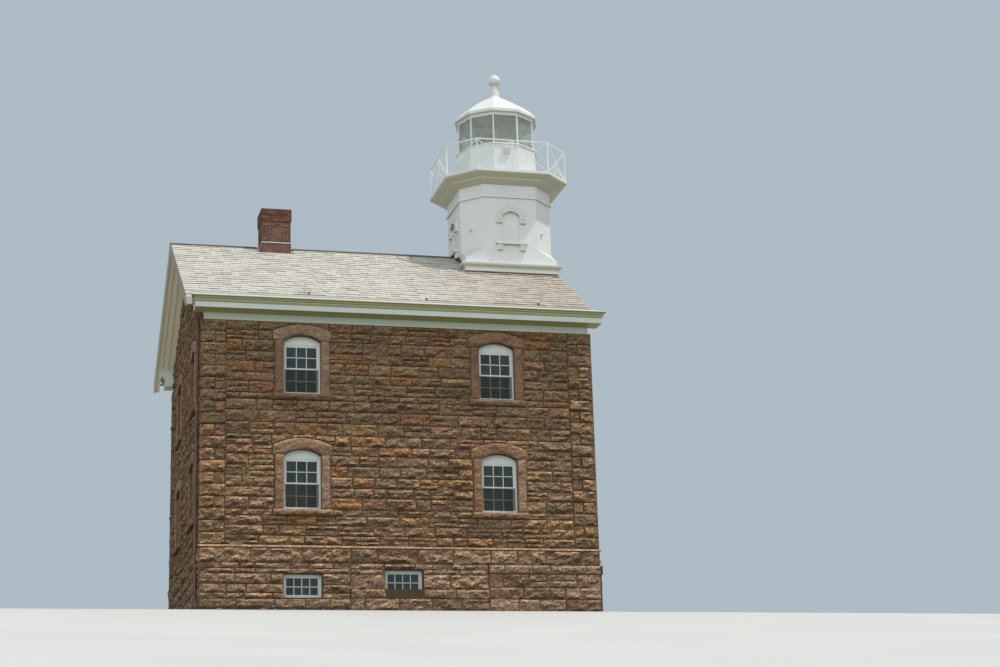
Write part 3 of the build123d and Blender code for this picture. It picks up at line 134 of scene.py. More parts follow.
# Courses: the stones' sizes, and how far their faces stand out
JOINT = 0.012
STONE_LENGTHS = (0.34, 0.95)
STONE_RELIEF = (0.7, 1.15)
HALVED_SHARE = 0.3
HALVED_RISE = 0.23
HALVED_LENGTH = 0.4
HALVED_BED = (0.4, 0.6)
LEAST_RISE = 0.03
LEAST_LENGTH = 0.06
LEAST_LAST = 0.16
LEAST_COURSE = 0.06
LEAST_BED = 0.08
BED_WANDER = 0.12
ARCH_NEAR = 0.1
WALL_COURSE = 0.285
WALL_PROUD = 0.043
GABLE_DROPS = {"left": 0.19, "right": 0.25}
QUOIN_COUNT = round((FRIEZE_BOTTOM - BASE_TOP) / 0.2925)
QUOIN_STEP = (FRIEZE_BOTTOM - BASE_TOP) / QUOIN_COUNT
QUOIN_LONG = 0.56
QUOIN_SHORT = 0.29
QUOIN_PROUD = WALL_PROUD * 1.1
QUOIN_ROUGH = 0.8
QUOIN_SEAT = 0.026
PLINTH = 0.058
TABLE_HEIGHT = 0.44
TABLE_SLOPE = 0.07
TABLE_LENGTHS = (0.6, 1.3)
BASE_COURSE = 0.27
FOOTING = 0.06
FOOTING_COURSE = 0.22
FOOTING_LEFT = 0.27
FOOTING_RIGHT = 1.16
FOOTING_STEPS = ((-5.06, -1.35, FOOTING_LEFT), (-1.35, 2.15, 0.53), (2.15, 5.06, FOOTING_RIGHT))
SUNK_COURSE = 0.29

# Split faces: cells and rims of their meshes, and shares of how far they stand out
FACE_CELL = 0.042
FACE_RIM = 0.014
FACE_BACK = -0.004
FACE_LEAN = 0.25
RAGGED = 0.012
NICK_WAVES = 13
NICK_PART = 0.8
RIM_PART = 0.16
EDGE_PART = 0.3
CORNER_PART = 0.8
SWELL_REACH = 0.075
SWELL_PART = 0.32

# Wall planes: origin, direction along, direction out
UP = Vector((0, 0, 1))
RIGHT = Vector((1, 0, 0))
WALLS = {
    "front": (Vector((0, -HALF_DEPTH, 0)), RIGHT, Vector((0, -1, 0))),
    "back": (Vector((0, HALF_DEPTH, 0)), Vector((-1, 0, 0)), Vector((0, 1, 0))),
    "left": (Vector((-HALF_LENGTH, 0, 0)), Vector((0, -1, 0)), Vector((-1, 0, 0))),
    "right": (Vector((HALF_LENGTH, 0, 0)), Vector((0, 1, 0)), RIGHT),
}
HALF_WIDTHS = {"front": HALF_LENGTH, "back": HALF_LENGTH, "left": HALF_DEPTH, "right": HALF_DEPTH}

# The walls under the eaves, and whether x runs with or against the direction along them
LONG_WALLS = {"front": 1, "back": -1}


def add_object(name, data):
    made = bpy.data.objects.new(name, data)
    bpy.context.scene.collection.objects.link(made)
    return made


def make_camera():
    """The camera at the photograph's place and angle, both solved from points of the photo."""
    focal_px = 2004.47
    picture_px = 1000
    sensor_mm = 36.0
    pitch, yaw, roll = 0.2711, 0.2577, -0.0300
    place = Vector((-10.106, -52.194, -6.695))
    level = Vector((math.sin(yaw), math.cos(yaw), 0))
    ahead = level * math.cos(pitch) + UP * math.sin(pitch)
    side = Vector((math.cos(yaw), -math.sin(yaw), 0))
    above = UP * math.cos(pitch) - level * math.sin(pitch)
    right = side * math.cos(roll) + above * math.sin(roll)
    upward = above * math.cos(roll) - side * math.sin(roll)
    data = bpy.data.cameras.new("photo_camera")
    data.sensor_width = sensor_mm
    data.lens = focal_px * sensor_mm / picture_px
    data.clip_end = 500
    camera = add_object("photo_camera", data)
    turn = Matrix((right, upward, -ahead)).transposed().to_4x4()
    camera.matrix_world = Matrix.Translation(place) @ turn
    bpy.context.scene.camera = camera


def feed(links, socket, value):
    """Links a source to a socket, or sets the socket's number, vector or colour."""
    if isinstance(value, bpy.types.NodeSocket):
        links.new(value, socket)
    else:
        socket.default_value = (*value, 1.0) if socket.type == "RGBA" else value


class Shade:
    """A Principled material put together from nodes, in the frame's own coordinates."""

    def __init__(self, name, roughness=0.6, metallic=0.0, specular=0.4):
        self.material = bpy.data.materials.new(name)
        self.material.use_nodes = True
        self.tree = self.material.node_tree
        self.place = self.node("TexCoord", {}, "Object")
        self.set("Roughness", roughness)
        self.set("Metallic", metallic)
        self.set("Specular IOR Level", specular)

    def set(self, socket, value):
        feed(self.tree.links, self.tree.nodes["Principled BSDF"].inputs[socket], value)

    def node(self, kind, feeds, output, **settings):
        """Adds a node with its inputs and settings, and gives one of its outputs."""
        node = self.tree.nodes.new("ShaderNode" + kind)
        for setting, value in settings.items():
            setattr(node, setting, value)
        for socket, value in feeds.items():
            feed(self.tree.links, node.inputs[socket], value)
        return node.outputs[output]

    def stretched(self, x=1.0, y=1.0, z=1.0):
        return self.node("Mapping", {"Scale": (x, y, z), "Vector": self.place}, "Vector")

    def noise(self, scale, detail=4.0, roughness=0.55, vector=None):
        feeds = {"Scale": scale, "Detail": detail, "Roughness": roughness, "Vector": vector or self.place}
        return self.node("TexNoise", feeds, "Fac")

    def cells(self, scale):
        return self.node("TexVoronoi", {"Scale": scale, "Vector": self.place}, "Distance")

    def tone(self):
        """The tone that each stone, slate or brick carries in its mesh."""
        return self.node("Attribute", {}, "Fac", attribute_name="tone")

    def along(self, vector, axis):
        """One component of a vector."""
        return self.node("SeparateXYZ", {0: vector}, axis)

    def facing_up(self):
        """1 on level tops, 0 on walls and -1 on undersides."""
        return self.along(self.node("NewGeometry", {}, "Normal"), "Z")

    def ramp(self, factor, *stops):
        node = self.tree.nodes.new("ShaderNodeValToRGB")
        elements = node.color_ramp.elements
        while len(elements) < len(stops):
            elements.new(0.5)
        for element, (position, color) in zip(elements, stops):
            element.position = position
            element.color = (*color, 1.0)
        feed(self.tree.links, node.inputs["Fac"], factor)
        return node.outputs["Color"]

    def mask(self, factor, low, high, first=0.0, last=1.0):
        """Grey that runs from the first value at low to the last value at high."""
        return self.ramp(factor, (low, (first,) * 3), (high, (last,) * 3))

    def mix(self, factor, first, second, blend="MIX"):
        """Two colours, blended in the sockets that the node has for colours."""
        return self.node("Mix", {0: factor, 6: first, 7: second}, 2, data_type="RGBA", blend_type=blend)

    def math(self, operation, first, second):
        return self.node("Math", {0: first, 1: second}, 0, operation=operation)

    def painted_underside_light(self, painted, color, full):
        """Blends another colour in where the surface faces the ground, fully so from a given tilt: painted
        shade and painted light bounced up from the ground.
        """
        facing_down = self.math("MULTIPLY", self.facing_up(), -1.0)
        return self.mix(self.mask(facing_down, 0.04, full), painted, color)

    def dust_and_painted_light(self, body, *stops):
        """Painted highlight, with some dusting, on what faces up and painted shade on what faces down."""
        facing = self.math("MULTIPLY", self.math("ADD", self.facing_up(), 1.0), 0.5)
        return self.mix(1.0, body, self.ramp(facing, *stops), "MULTIPLY")

    def bump(self, height, distance, strength=1.0):
        feeds = {"Distance": distance, "Strength": strength, "Height": height}
        self.set("Normal", self.node("Bump", feeds, "Normal"))

    def color(self, value):
        self.set("Base Color", value)

    def rough(self, factor, low, high):
        feeds = {"Value": factor, "To Min": low, "To Max": high}
        self.set("Roughness", self.node("MapRange", feeds, "Result"))


def granite(name, stops, grain=1.0, dark=(0.5, 0.46, 0.42), light=(1.6, 1.54, 1.46)):
    """Split granite: a tone for each stone, broad stains, crystals, mottling, and by facing a painted
    highlight with some dusting on top and painted shade beneath.
    """
    shade = Shade(name, roughness=0.85, specular=0.25)
    tone = shade.ramp(shade.tone(), *stops)
    stain = shade.mask(shade.noise(1.7, 5.0, 0.6), 0.42, 0.68)
    body = shade.mix(0.5, tone, shade.mix(stain, tone, (0.17, 0.105, 0.062)))
    crystals = shade.noise(95 * grain, 3.0, 0.7)
    speckled = shade.mix(shade.mask(crystals, 0.36, 0.5, 1.0, 0.0), body, (0.07, 0.045, 0.035))
    glints = shade.mix(shade.mask(crystals, 0.58, 0.7), speckled, (0.4, 0.3, 0.24))
    mottling = shade.ramp(shade.noise(19, 6.0, 0.75), (0.36, dark), (0.5, (1.0, 1.0, 1.0)), (0.64, light))
    mottled = shade.mix(1.0, glints, mottling, "MULTIPLY")
    # Facets that face down darken and facets that face up lighten: painted shade under the stones' shelves
    # and painted highlight, with some dusting, on their tops.
    painted_shade = ((0.26, (0.38, 0.34, 0.3)), (0.44, (0.82, 0.8, 0.77)))
    dust_and_painted_highlight = ((0.54, (1.02, 1.0, 0.98)), (0.76, (1.75, 1.66, 1.5)))
    shade.color(shade.dust_and_painted_light(mottled, *painted_shade, *dust_and_painted_highlight))
    rough_face = shade.math("ADD", shade.noise(16, 8.0, 0.7), shade.cells(11.0))
    shade.bump(shade.math("ADD", rough_face, shade.math("MULTIPLY", crystals, 0.25)), 0.05)
    return shade.material


def paint(name, color, dirt, roughness=0.42, dirt_from=0.55, grain=60, under=None, full=0.85):
    """Brushed paint with a slight unevenness, rain streaks and dirt. under is a colour painted on undersides:
    painted shade and painted light bounced up from the ground.
    """
    shade = Shade(name, roughness=roughness, specular=0.45)
    cloud = shade.noise(2.2, 5.0)
    streak = shade.noise(7.0, 5.0, 0.6, shade.stretched(z=0.12))
    soft = shade.mix(0.5, color, shade.ramp(cloud, (0.3, tuple(c * 0.9 for c in color)), (0.7, color)))
    aged = shade.mix(shade.mask(streak, dirt_from, dirt_from + 0.28, 0.0, 0.55), soft, dirt)
    # Undersides take the under colour, painted shade and painted light bounced from the ground.
    shade.color(shade.painted_underside_light(aged, under, full) if under else aged)
    shade.rough(cloud, roughness - 0.08, roughness + 0.14)
    shade.bump(shade.noise(grain, 4.0, 0.6, shade.stretched(z=0.35)), 0.0015)
    return shade.material


def two_tone(name, dark, light, waves, bump=0.0, strength=1.0, stretch=(), sockets=(), **finish):
    """A finish that wanders between two colours. waves are its noise's scale, detail and roughness."""
    shade = Shade(name, **finish)
    pattern = shade.noise(*waves, vector=shade.stretched(*stretch) if stretch else None)
    shade.color(shade.ramp(pattern, (0.3, dark), (0.7, light)))
    for socket, value in sockets:
        shade.set(socket, value)
    if bump:
        shade.bump(pattern, bump, strength)
    return shade.material


def lime_mortar():
    shade = Shade("lime_mortar", roughness=0.95, specular=0.1)
    sand = shade.noise(60, 5.0, 0.7)
    grains = shade.ramp(sand, (0.3, (0.06, 0.042, 0.026)), (0.7, (0.13, 0.093, 0.06)))
    shade.color(shade.mix(shade.noise(2.0, 4.0), grains, (0.09, 0.062, 0.038)))
    shade.bump(sand, 0.006)
    return shade.material


def weathered_slate():
    """Slates with a tone each, pale bloom and clefts, browner towards the tower."""
    shade = Shade("weathered_slate", roughness=0.62, specular=0.4)
    tone = shade.ramp(
        shade.tone(), (0.0, (0.47, 0.435, 0.385)), (0.2, (0.62, 0.59, 0.53)), (0.55, (0.68, 0.655, 0.595)),
        (0.8, (0.66, 0.61, 0.55)), (1.0, (0.57, 0.52, 0.47)),
    )
    bloom = shade.noise(3.0, 6.0, 0.7)
    washed = shade.mix(shade.mask(bloom, 0.45, 0.75, 0.0, 0.6), tone, (0.7, 0.68, 0.61))
    cleft = shade.noise(22, 6.0, 0.6, shade.stretched(y=0.3, z=0.3))
    worn = shade.mix(0.3, washed, shade.ramp(cleft, (0.3, (0.34, 0.31, 0.27)), (0.6, (0.7, 0.67, 0.61))))
    towards_tower = shade.math("DIVIDE", shade.along(shade.place, "X"), HALF_LENGTH)
    browner = shade.ramp(towards_tower, (0.0, (1.0, 1.0, 1.0)), (0.9, (0.82, 0.76, 0.71)))
    shade.color(shade.mix(1.0, worn, browner, "MULTIPLY"))
    shade.bump(cleft, 0.004)
    shade.rough(bloom, 0.5, 0.75)
    return shade.material


def brown_copper():
    shade = Shade("brown_copper", roughness=0.5, metallic=0.55, specular=0.5)
    patina = shade.noise(5.0, 6.0, 0.65)
    run = shade.noise(12.0, 4.0, 0.6, shade.stretched(z=0.2))
    brown = shade.ramp(
        patina, (0.3, (0.09, 0.045, 0.03)), (0.55, (0.2, 0.1, 0.07)), (0.75, (0.28, 0.16, 0.12))
    )
    shade.color(shade.mix(shade.mask(run, 0.45, 0.75, 0.0, 0.6), brown, (0.12, 0.09, 0.075)))
    shade.rough(patina, 0.38, 0.68)
    shade.bump(shade.noise(9.0, 3.0), 0.004)
    return shade.material


def chimney_brick():
    """Bricks with a tone each, pits, and soot in patches."""
    shade = Shade("chimney_brick", roughness=0.85, specular=0.2)
    tone = shade.ramp(
        shade.tone(), (0.0, (0.07, 0.026, 0.018)), (0.4, (0.16, 0.056, 0.035)),
        (0.75, (0.22, 0.082, 0.048)), (1.0, (0.28, 0.13, 0.085)),
    )
    pits = shade.noise(70, 5.0, 0.7)
    pitted = shade.mix(0.25, tone, shade.ramp(pits, (0.3, (0.05, 0.03, 0.02)), (0.7, (0.3, 0.16, 0.11))))
    soot = shade.mask(shade.noise(3.5, 5.0, 0.6), 0.45, 0.8, 0.0, 0.7)
    shade.color(shade.mix(soot, pitted, (0.06, 0.04, 0.035)))
    shade.bump(pits, 0.004)
    return shade.material


def make_stone_finishes():
    """Finishes of the masonry, the roof and the chimney."""
    return {
        "stone": granite(
            "granite_blocks",
            (
                (0.0, (0.25, 0.172, 0.105)), (0.2, (0.345, 0.235, 0.135)), (0.4, (0.39, 0.24, 0.14)),
                (0.58, (0.36, 0.26, 0.155)), (0.74, (0.43, 0.262, 0.165)), (0.86, (0.41, 0.285, 0.15)),
                (0.95, (0.46, 0.235, 0.1)), (1.0, (0.38, 0.195, 0.12)),
            ),
        ),
        "dressed": granite(
            "dressed_granite",
            ((0.0, (0.43, 0.235, 0.145)), (0.5, (0.5, 0.325, 0.21)), (1.0, (0.59, 0.41, 0.28))),
            grain=1.3, dark=(0.7, 0.67, 0.64), light=(1.3, 1.26, 1.2),
        ),
        "footing": granite(
            "base_granite",
            ((0.0, (0.29, 0.188, 0.118)), (0.5, (0.44, 0.29, 0.185)), (1.0, (0.52, 0.355, 0.235))),
        ),
        "mortar": lime_mortar(),
        "slate": weathered_slate(),
        "brick": chimney_brick(),
        "chimney_mortar": two_tone(
            "chimney_mortar", (0.3, 0.25, 0.21), (0.5, 0.44, 0.37), (55, 5.0, 0.7), 0.004,
            roughness=0.95, specular=0.1,
        ),
        "cement": two_tone(
            "cellar_cement", (0.24, 0.23, 0.21), (0.42, 0.41, 0.38), (8.0, 7.0, 0.65), 0.006,
            roughness=0.9, specular=0.15,
        ),
    }


def make_painted_finishes():
    """Finishes of the painted timber and metal, whose brush marks differ in scale."""
    metal = 30
    wood = 60
    # The rake's paint is dark on the boards' outer faces and pale beneath them: painted shade on the faces
    # and painted light on the soffit. The battens take it with a darker colour beneath, painted shade along
    # the joints of the boards.
    rake = (0.34, 0.32, 0.25)
    rake_dirt = (0.26, 0.23, 0.18)
    # The seventh value is the colour painted on undersides: painted shade with green light bounced from the
    # ground, olive on the eave. The eighth is the tilt at which it is full.
    paints = {
        "tower": ("tower_paint", (0.82, 0.84, 0.83), (0.6, 0.62, 0.58), 0.45, 0.6, metal, (0.5, 0.485, 0.37)),
        # The trim paint is a darker copy of the tower's paint: painted shade standing in for the shadow lines
        # round the hood mould and sill.
        "trim": (
            "tower_trim_paint", (0.76, 0.78, 0.74), (0.5, 0.5, 0.42), 0.45, 0.55, metal, (0.3, 0.29, 0.2), 0.6
        ),
        "joinery": ("joinery_paint", (0.75, 0.79, 0.75), (0.55, 0.55, 0.5), 0.35, 0.62),
        "eave": (
            "eave_paint", (0.7, 0.75, 0.71), (0.5, 0.52, 0.42), 0.45, 0.6, wood, (0.27, 0.265, 0.08), 0.5
        ),
        "rake": ("rake_paint", rake, rake_dirt, 0.6, 0.58, wood, (0.92, 0.88, 0.72), 0.5),
        "batten": ("batten_paint", rake, rake_dirt, 0.6, 0.58, wood, (0.72, 0.68, 0.55), 0.5),
        # The gallery soffit's paint is a darker copy of the tower's paint, painted shade under the gallery.
        "soffit": (
            "soffit_paint", (0.66, 0.68, 0.62), (0.5, 0.5, 0.4), 0.5, 0.58, metal, (0.46, 0.45, 0.335), 0.7
        ),
        "rail": ("rail_paint", (0.82, 0.83, 0.82), (0.45, 0.33, 0.22), 0.4, 0.64, metal),
        "brace": ("brace_paint", (0.34, 0.37, 0.33), (0.22, 0.22, 0.18), 0.5, 0.55, metal),
        "ridge": ("ridge_metal", (0.065, 0.032, 0.028), (0.1, 0.07, 0.055), 0.5),
        "cap_mortar": ("soot_mortar", (0.1, 0.07, 0.05), (0.16, 0.13, 0.09), 0.9, 0.45),
    }
    return {key: paint(*values) for key, values in paints.items()}


def make_other_finishes():
    """Finishes of bare metal, glass, screens and boards."""
    return {
        "copper": brown_copper(),
        "glass": two_tone(
            "house_glass", (0.016, 0.024, 0.02), (0.05, 0.064, 0.062), (2.5, 2.0), 0.01, 0.4,
            sockets=(("Transmission Weight", 0.3), ("Coat Weight", 0.4), ("Coat Roughness", 0.03)),
            roughness=0.06, specular=0.6,
        ),
        "lantern_glass": two_tone(
            "lantern_glass", (0.74, 0.8, 0.74), (0.86, 0.9, 0.85), (3.0, 3.0), 0.004, 0.3,
            sockets=(("Transmission Weight", 0.8), ("IOR", 1.15)), roughness=0.04, specular=0.5,
        ),
        "screen": two_tone(
            "screen_mesh", (0.06, 0.066, 0.056), (0.095, 0.1, 0.088), (40.0, 2.0),
            sockets=(("Alpha", 0.32),), roughness=0.8, specular=0.1,
        ),
        "iron": two_tone(
            "old_iron", (0.04, 0.03, 0.025), (0.1, 0.07, 0.05), (20.0, 5.0), 0.002,
            roughness=0.6, metallic=0.5, specular=0.4,
        ),
        "boards": two_tone(
            "floor_boards", (0.16, 0.1, 0.06), (0.34, 0.23, 0.14), (9.0, 5.0, 0.6), 0.004,
            stretch=(0.15, 6.0, 1.0), roughness=0.6,
        ),
    }


class Pile:
    """Sheets and blocks in one mesh, each with a tone of its own."""

    def __init__(self):
        self.points = []
        self.faces = []
        self.tones = []

    def grid(self, rows, tone):
        """Adds a sheet of quads from rows of points, leaving out collapsed faces."""
        start = len(self.points)
        wide = len(rows[0])
        for row in rows:
            self.points.extend(row)
            self.tones.extend([tone] * wide)
        for j in range(len(rows) - 1):
            for i in range(wide - 1):
                corner = start + j * wide + i
                quad = (corner, corner + 1, corner + wide + 1, corner + wide)
                diagonal = self.points[quad[2]] - self.points[quad[0]]
                other = self.points[quad[3]] - self.points[quad[1]]
                if diagonal.cross(other).length > 1e-6:
                    self.faces.append(quad)

    def box(self, centre, sizes, axes, tone=0.5):
        """Adds a closed block with its sides along the given axes."""
        x, y, z = (axis * size for axis, size in zip(axes, sizes))
        start = len(self.points)
        for sx in (-0.5, 0.5):
            for sy in (-0.5, 0.5):
                for sz in (-0.5, 0.5):
                    self.points.append(centre + x * sx + y * sy + z * sz)
                    self.tones.append(tone)
        for quad in ((0, 1, 3, 2), (4, 6, 7, 5), (0, 4, 5, 1), (2, 3, 7, 6), (0, 2, 6, 4), (1, 5, 7, 3)):
            self.faces.append(tuple(start + k for k in quad))

    def plate(self, ring, order):
        """Adds one flat face from its corners, taken in the given order."""
        start = len(self.points)
        self.points.extend(ring)
        self.tones.extend([0.5] * len(ring))
        self.faces.append(tuple(start + k for k in order))

    def finish(self, name, material, slot):
        mesh = bpy.data.meshes.new(name)
        mesh.from_pydata([tuple(p) for p in self.points], [], self.faces)
        tones = mesh.attributes.new("tone", "FLOAT", "POINT")
        tones.data.foreach_set("value", self.tones)
        mesh.materials.append(material)
        mesh.update()
        piece = add_object(name, mesh)
        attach(piece, "root")


def steps(start, end, cell=FACE_CELL):
    """Positions across a stone: a narrow rim at each side and even cells between."""
    rim = min(FACE_RIM, (end - start) * 0.2)
    inside = end - start - 2 * rim
    count = max(1, round(inside / cell))
    return [start, *(start + rim + inside * k / count for k in range(count + 1)), end]


def waves(point, across, up, shift):
    """Smooth noise at a point of a face, with its scales across the face and up it."""
    return noise.noise(Vector((point.x * across, point.y * up, point.z + shift)))


def rock_height(point, proud, rough):
    """How far a split face stands out at a point: a swelling, broken into ledges, with chips."""
    swelling = waves(point, 2.2, 4.0, 0)
    dust_and_painted_light = 2.2 * waves(point, 4.6, 7.4, 7)
    shelf = math.floor(dust_and_painted_light) + min(1.0, (dust_and_painted_light - math.floor(dust_and_painted_light)) * 2.6)
    chips = waves(point, 13.0, 16.0, 13)
    return proud * (0.66 + rough * (0.55 * swelling + 0.44 * shelf + 0.5 * chips))


def edge_swell(gap, reach):
    """Rises from nothing at a stone's edge to one at a distance from it."""
    share = min(1.0, max(0.0, gap / reach))
    return 1 - (1 - share) ** 2


def rock_face(pile, side, ends, heights, proud, rng, rough=1.0, offset=0.0, wrap=0):
    """One split-faced stone. heights are its bottom and top, as levels or as functions of u.

    u runs along the wall and v up it. offset is how far the stone is set before the wall, and
    wrap is 1 or -1 where the stone's last or first end turns a corner of the house.
    """
    origin, along, out = WALLS[side]
    u0, u1 = ends
    low, high = (h if callable(h) else (lambda u, level=h: level) for h in heights)
    straight = not any(callable(h) for h in heights)
    tallest = max((u0, (u0 + u1) / 2, u1), key=lambda u: high(u) - low(u))
    span = max(high(tallest) - low(tallest), 1e-4)
    shares = [(v - low(tallest)) / span for v in steps(low(tallest), high(tallest))]
    swell = min(SWELL_REACH, span * SWELL_PART)
    seed = Vector([rng.uniform(-50, 50) for _ in range(3)])
    lean = rng.uniform(-FACE_LEAN, FACE_LEAN)

    def inner_depth(u, v, share):
        depth = rock_height(Vector((u, v, 0)) + seed, proud, rough) * (1 + lean * (2 * share - 1))
        rim = min(high(u) - v, v - low(u))
        if wrap <= 0:
            rim = min(rim, u - u0)
        if wrap >= 0:
            rim = min(rim, u1 - u)
        return depth * (EDGE_PART + (1 - EDGE_PART) * edge_swell(rim, swell))

    def face_point(u, share):
        v = low(u) + (high(u) - low(u)) * share
        on_bed = share in (shares[0], shares[-1])
        depth = inner_depth(u, v, share)
        nick = RAGGED * noise.noise(Vector((u * NICK_WAVES, v * NICK_WAVES, seed.x)))
        if on_bed or u in ends:
            depth = proud * RIM_PART
        if on_bed and straight:
            v += nick if share == shares[0] else -abs(nick) * NICK_PART
        elif u in ends and not wrap:
            u += abs(nick) * (1 if u == u0 else -1)
        if (wrap > 0 and u == u1) or (wrap < 0 and u == u0):
            depth = proud * CORNER_PART
            u += wrap * (depth + offset)
        return origin + along * u + UP * max(v, 0.001) + out * (max(depth, 0.002) + offset)

    def sunk(points):
        return [p - out * (out.dot(p - origin) - FACE_BACK) for p in points]

    rows = [[face_point(u, share) for u in steps(u0, u1)] for share in shares]
    tone = rng.random()
    pile.grid([sunk(rows[0]), *rows, sunk(rows[-1])], tone)
    first = [row[0] for row in rows]
    last = [row[-1] for row in rows]
    if wrap >= 0:
        pile.grid([sunk(first), first], tone)
    if wrap <= 0:
        pile.grid([last, sunk(last)], tone)


def window_columns(side):
    column = WINDOW_COLUMN if side in LONG_WALLS else GABLE_COLUMN
    return (-column, column)


def storey_windows():
    """The windows of both storeys: wall, place along it and sill."""
    return [(side, u, sill) for side in WALLS for u in window_columns(side) for sill in SILL_HEIGHTS]


def cellar_windows(side):
    """A wall's cellar windows: place along it and sill."""
    hand = LONG_WALLS.get(side)
    return [(hand * column, sill) for column, sill in CELLAR_WINDOWS] if hand else []


def arched_openings(side):
    """A wall's windows and door: place along it, sill, width and rise to the arch's springing."""
    found = [(u, sill, WINDOW_WIDTH, SPRING_RISE) for u in window_columns(side) for sill in SILL_HEIGHTS]
    if side == "back":
        found.append((0.0, DOOR_SILL, DOOR_WIDTH, DOOR_RISE))
    return found


def wall_holes(side):
    """Rectangles of a wall that dressed stones and openings take up: u0, u1, v0, v1."""
    holes = []
    for column, sill, width, rise in arched_openings(side):
        head = sill + rise
        jamb = width / 2 + JAMB_WIDTH
        for half, low, high in (
            (SILL_HALF if rise == SPRING_RISE else jamb + DOOR_SILL_EARS, sill - SILL_THICKNESS, sill),
            (jamb, sill, head),
            (LINTEL_HALF + (width - WINDOW_WIDTH) / 2, head, head + LINTEL_EARS),
        ):
            holes.append((column - half, column + half, low, high))
    return holes


def arch_line(side):
    """How low a stone may reach beside and over the lintels' curved tops."""

    def lowest(u, v):
        for column, sill, width, rise in arched_openings(side):
            share = abs(u - column) / (LINTEL_HALF + (width - WINDOW_WIDTH) / 2)
            ears = sill + rise + LINTEL_EARS
            if share < 1 and ears - ARCH_NEAR < v < ears + LINTEL_ARCH:
                v = max(v, ears + LINTEL_ARCH * (1 - share * share))
        return v

    return lowest


def free_spans(u0, u1, v0, v1, holes):
    """What is left of a course between the holes that reach into it."""
    spans = [(u0, u1)]
    for h0, h1, b0, b1 in holes:
        if min(v1, b1) - max(v0, b0) < LEAST_RISE:
            continue
        left = []
        for a, b in spans:
            if h1 <= a or h0 >= b:
                left.append((a, b))
                continue
            if h0 - a > LEAST_LENGTH:
                left.append((a, h0))
            if b - h1 > LEAST_LENGTH:
                left.append((h1, b))
        spans = left
    return spans


def course_levels(bottom, top, breaks, target, rng):
    """Bed joints from bottom to top that keep to the given levels."""
    marks = sorted({bottom, top, *(b for b in breaks if bottom + LEAST_BED < b < top - LEAST_BED)})
    levels = [bottom]
    for low, high in zip(marks, marks[1:]):
        count = max(1, round((high - low) / target))
        even = (high - low) / count
        for k in range(1, count):
            levels.append(low + even * k + rng.uniform(-BED_WANDER, BED_WANDER) * even)
        levels.append(high)
    return levels


def head_joints(start, end, lengths, rng):
    """Where the stones of a course meet, up to its last stone, with lengths drawn between two."""
    cuts = [start]
    while end - cuts[-1] > lengths[1]:
        cuts.append(cuts[-1] + rng.uniform(*lengths))
    return cuts


def stone_heights(ends, low, high, top_line, low_line):
    """A stone's bottom and top, cut along the roof and the arches, or nothing where it has no room."""
    u0, u1 = ends
    middle = (u0 + u1) / 2
    base = bottom = low + JOINT / 2
    crown = top = high - JOINT / 2
    if top_line:
        if top_line(middle) < low + LEAST_RISE:
            return None
        crown = lambda u: max(bottom + 0.001, min(top, top_line(u)))
    if low_line and max(low_line(u, low) for u in (u0, middle, u1)) > low:
        base = lambda u: min(low_line(u, low) + JOINT / 2, top - 0.002)
    return base, crown


def lay_stones(
    pile, side, span, low, high, rng, proud, offset=0.0, top_line=None, low_line=None,
    lengths=STONE_LENGTHS, halved=HALVED_SHARE,
):
    """Fills one stretch of a course with stones, now and then two thin ones in place of one."""
    cuts = head_joints(*span, lengths, rng)
    if span[1] - cuts[-1] < LEAST_LAST and len(cuts) > 1:
        cuts.pop()
    cuts.append(span[1])
    for u0, u1 in zip(cuts, cuts[1:]):
        beds = [low, high]
        if high - low > HALVED_RISE and u1 - u0 > HALVED_LENGTH and rng.random() < halved:
            beds.insert(1, low + (high - low) * rng.uniform(*HALVED_BED))
        for v0, v1 in zip(beds, beds[1:]):
            heights = stone_heights((u0, u1), v0, v1, top_line, low_line)
            if heights:
                ends = (u0 + JOINT / 2, u1 - JOINT / 2)
                relief = proud * rng.uniform(*STONE_RELIEF)
                rock_face(pile, side, ends, heights, relief, rng, offset=offset)


def lay_courses(pile, side, ends, levels, holes, rng, proud, **setting):
    """Courses of stones between the given levels, left out at the holes."""
    for low, high in zip(levels, levels[1:]):
        for span in free_spans(*ends, low, high, holes):
            lay_stones(pile, side, span, low, high, rng, proud, **setting)


def gable_line(side):
    """Where a gable's facing stones stop below the roof. The long walls have no such line."""
    if side in LONG_WALLS:
        return None
    drop = GABLE_DROPS[side]
    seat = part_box("right_gable_wall")[1][2] - 0.005 if side == "right" else RIDGE
    return lambda u: min(RIDGE - drop - ROOF_PITCH * abs(u), seat)


def lay_wall(pile, side, rng):
    """The courses of one storey wall between its quoins."""
    half = HALF_WIDTHS[side]
    line = gable_line(side)
    arches = arch_line(side)
    holes = wall_holes(side)
    breaks = {round(level, 4) for hole in holes for level in hole[2:]}
    levels = course_levels(BASE_TOP, RIDGE if line else FRIEZE_BOTTOM, breaks, WALL_COURSE, rng)
    for low, high in zip(levels, levels[1:]):
        index = int(((low + high) / 2 - BASE_TOP) / QUOIN_STEP)
        end = half - (QUOIN_LONG if index < QUOIN_COUNT else 0.0)
        ends = (-end, end)
        lay_courses(pile, side, ends, (low, high), holes, rng, WALL_PROUD, top_line=line, low_line=arches)


